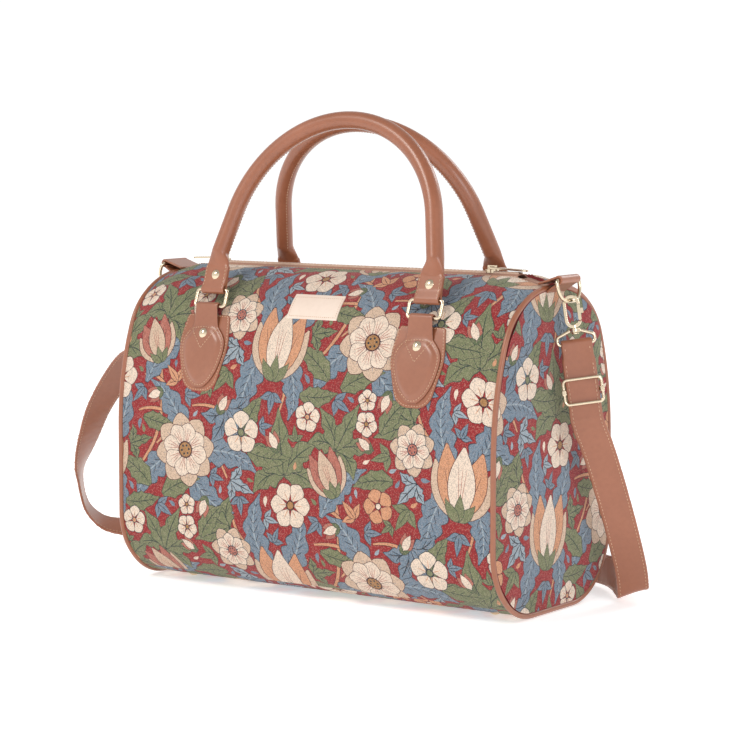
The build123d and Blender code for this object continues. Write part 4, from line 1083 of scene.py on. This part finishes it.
STRAP_T, STRAP_HALF, FOLD_HALF = 2.6, 15.5, 14.5
STRAP_INSET, THREAD_SINK = 3.0, 0.1
STRAIGHT_STRAP_END = 131.0
FOLD_FRONT = ((63.0, 4.3), (68.0, 3.6), (74.0, 2.8))       # distance down and half the thickness of the fold
D_BAR_X, D_BAR_Z = 233.0, 314.0
CHAIN = {1: (9.5, 55.0, 99.0), -1: (22.0, 35.0, 95.0)}     # tilt, turn of the eye and end of the fold
ROUTE = [
    ((-281, 1.5, 218), (0.53, 0.80, -0.26)),
    ((-303, 7, 206), (0.48, 0.80, -0.34)),
    ((-335, 18, 179), (0.40, 0.86, -0.30)),
    ((-361, 26, 151), (0.20, 0.95, -0.22)),
    ((-381, 34, 121), (0.00, 0.98, -0.15)),
    ((-397, 42, 96), (-0.25, 0.95, -0.08)),
    ((-407, 48, 76), (-0.50, 0.86, 0.00)),
    ((-407.5, 51, 57), (-0.56, 0.82, 0.05)),
    ((-403.5, 54, 40), (-0.56, 0.80, 0.12)),
    ((-393.5, 58, 28), (-0.54, 0.78, 0.22)),
    ((-382, 63, 21), (-0.52, 0.76, 0.32)),
    ((-364, 70, 18), (-0.48, 0.72, 0.42)),
    ((-336, 84, 17.8), (-0.38, 0.60, 0.62)),
    ((-300, 102, 18.0), (-0.22, 0.40, 0.85)),
    ((-250, 124, 18.0), (-0.08, 0.16, 0.98)),
    ((-190, 142, 18.0), (0, 0.04, 1)),
    ((-110, 152, 18.0), (0, 0, 1)),
    ((-10, 156, 18.0), (0, 0, 1)),
    ((80, 157, 18.0), (0, 0, 1)),
    ((145, 154, 18.0), (0, 0, 1)),
    ((182, 145, 18.0), (0.02, 0.03, 1)),
    ((208, 131, 18.0), (0.12, 0.14, 0.98)),
    ((227, 116, 17.0), (0.34, 0.32, 0.88)),
    ((240, 105, 14.0), (0.58, 0.46, 0.67)),
    ((249, 97, 10.5), (0.72, 0.50, 0.46)),
    ((253.3, 91.1, 9.2), (0.78, 0.48, 0.36)),
    ((256.8, 87.1, 10.4), (0.80, 0.46, 0.32)),
    ((258.8, 84.1, 14), (0.81, 0.46, 0.30)),
    ((260.8, 78.1, 27), (0.81, 0.47, 0.30)),
    ((261.3, 70.1, 46), (0.81, 0.49, 0.28)),
    ((260.8, 51.1, 86), (0.80, 0.51, 0.26)),
    ((259.6, 31, 126), (0.80, 0.53, 0.24)),
    ((257.6, 13.2, 160), (0.80, 0.55, 0.20)),
]


def chain_point(end, distance, across, out):
    """Point of the doubled strap end, its width and the way its front faces."""
    tilt, turn = math.radians(CHAIN[end][0]), math.radians(CHAIN[end][1])
    down = Vector((end * math.sin(tilt), 0, -math.cos(tilt)))
    level = Vector((math.cos(tilt), 0, end * math.sin(tilt)))
    width = Vector((0, 1, 0)) * math.cos(turn) + level * math.sin(turn)
    facing = (-down).cross(width)
    return Vector((end * D_BAR_X, 0, D_BAR_Z)) + down * distance + width * across + facing * out, width, facing


def strap_path():
    """Middle of the free run every few millimetres, with the way its width points."""
    ends = {}
    for end in (-1, 1):
        stop = CHAIN[end][2]
        more = stop + 5.0 if end < 0 else STRAIGHT_STRAP_END
        ends[end] = [chain_point(end, d, 0.0, -STRAP_T / 2)[:2] for d in (stop - 3.0, more)]
    stations = ends[-1] + [(Vector(p), Vector(w)) for p, w in ROUTE] + ends[1][::-1]
    path, last = [], len(stations) - 1
    for i in range(last):
        a, b, c, d = [stations[min(max(i + k, 0), last)] for k in (-1, 0, 1, 2)]
        for k in range(3 if 0 < i < last - 1 else 1):
            t = k / 3
            path.append([(b[m] * 2 + (c[m] - a[m]) * t + (a[m] * 2 - b[m] * 5 + c[m] * 4 - d[m]) * (t * t)
                          + (b[m] * 3 - a[m] - c[m] * 3 + d[m]) * (t * t * t)) * 0.5 for m in (0, 1)])
    return path + [list(stations[last])]


path = strap_path()
rows = []
for across in (-1, 1):
    for face in (-1, 1):
        run = []
        for i, (point, width) in enumerate(path):
            along = (path[min(i + 1, len(path) - 1)][0] - path[max(i - 1, 0)][0]).normalized()
            wide = (width - along * width.dot(along)).normalized()
            normal = along.cross(wide) * face
            side = wide * across * (STRAP_HALF - STRAP_INSET)
            run.append((point + side + normal * (STRAP_T / 2 - THREAD_SINK), normal))
        rows.append(run)
    for end in (-1, 1):
        for face in (-1, 1):
            run = []
            for distance, out in FOLD_FRONT + ((CHAIN[end][2] - 1.0, STRAP_T),):
                half = (FOLD_HALF if distance < 70.0 else STRAP_HALF) - STRAP_INSET
                spot, _, facing = chain_point(end, distance, across * half, face * (out - THREAD_SINK))
                run.append((spot, facing * face))
            rows.append(run)
stitches("strap_stitches", rows, pitch=3.8, length=2.6, radius=0.4)


# Leather and cast fittings lose their hard CAD edges

CAST = ("handle_ring", "d_ring", "clasp_eye", "clasp_hook", "strap_adjuster")


def softened(node, voxel, rounds):
    """Rebuilds a node's mesh in even facets, voxel mm apart, and smooths it."""
    remesh = NODES[node].modifiers.new("cut_edges", "REMESH")
    remesh.mode = "VOXEL"
    remesh.voxel_size = voxel * MM
    remesh.use_smooth_shade = True
    smooth = NODES[node].modifiers.new("worn_edges", "SMOOTH")
    smooth.factor = 0.5
    smooth.iterations = rounds


for name in ("front_handle", "back_handle"):
    softened(name, 0.95, 6)
for name in NODES:
    if name.startswith(("anchor_patch", "end_loop")):
        softened(name, 0.6, 4)
    if name.startswith(CAST):
        softened(name, 0.34, 7)
softened("shoulder_strap", 1.16, 4)


# Floor

floor_mesh = bpy.data.meshes.new("floor")
floor_mesh.from_pydata([(-8, -8, 0), (8, -8, 0), (8, 8, 0), (-8, 8, 0)], [], [(0, 1, 2, 3)])
floor = bpy.data.objects.new("floor", floor_mesh)
floor_mesh.materials.append(FLOOR)
scene.collection.objects.link(floor)
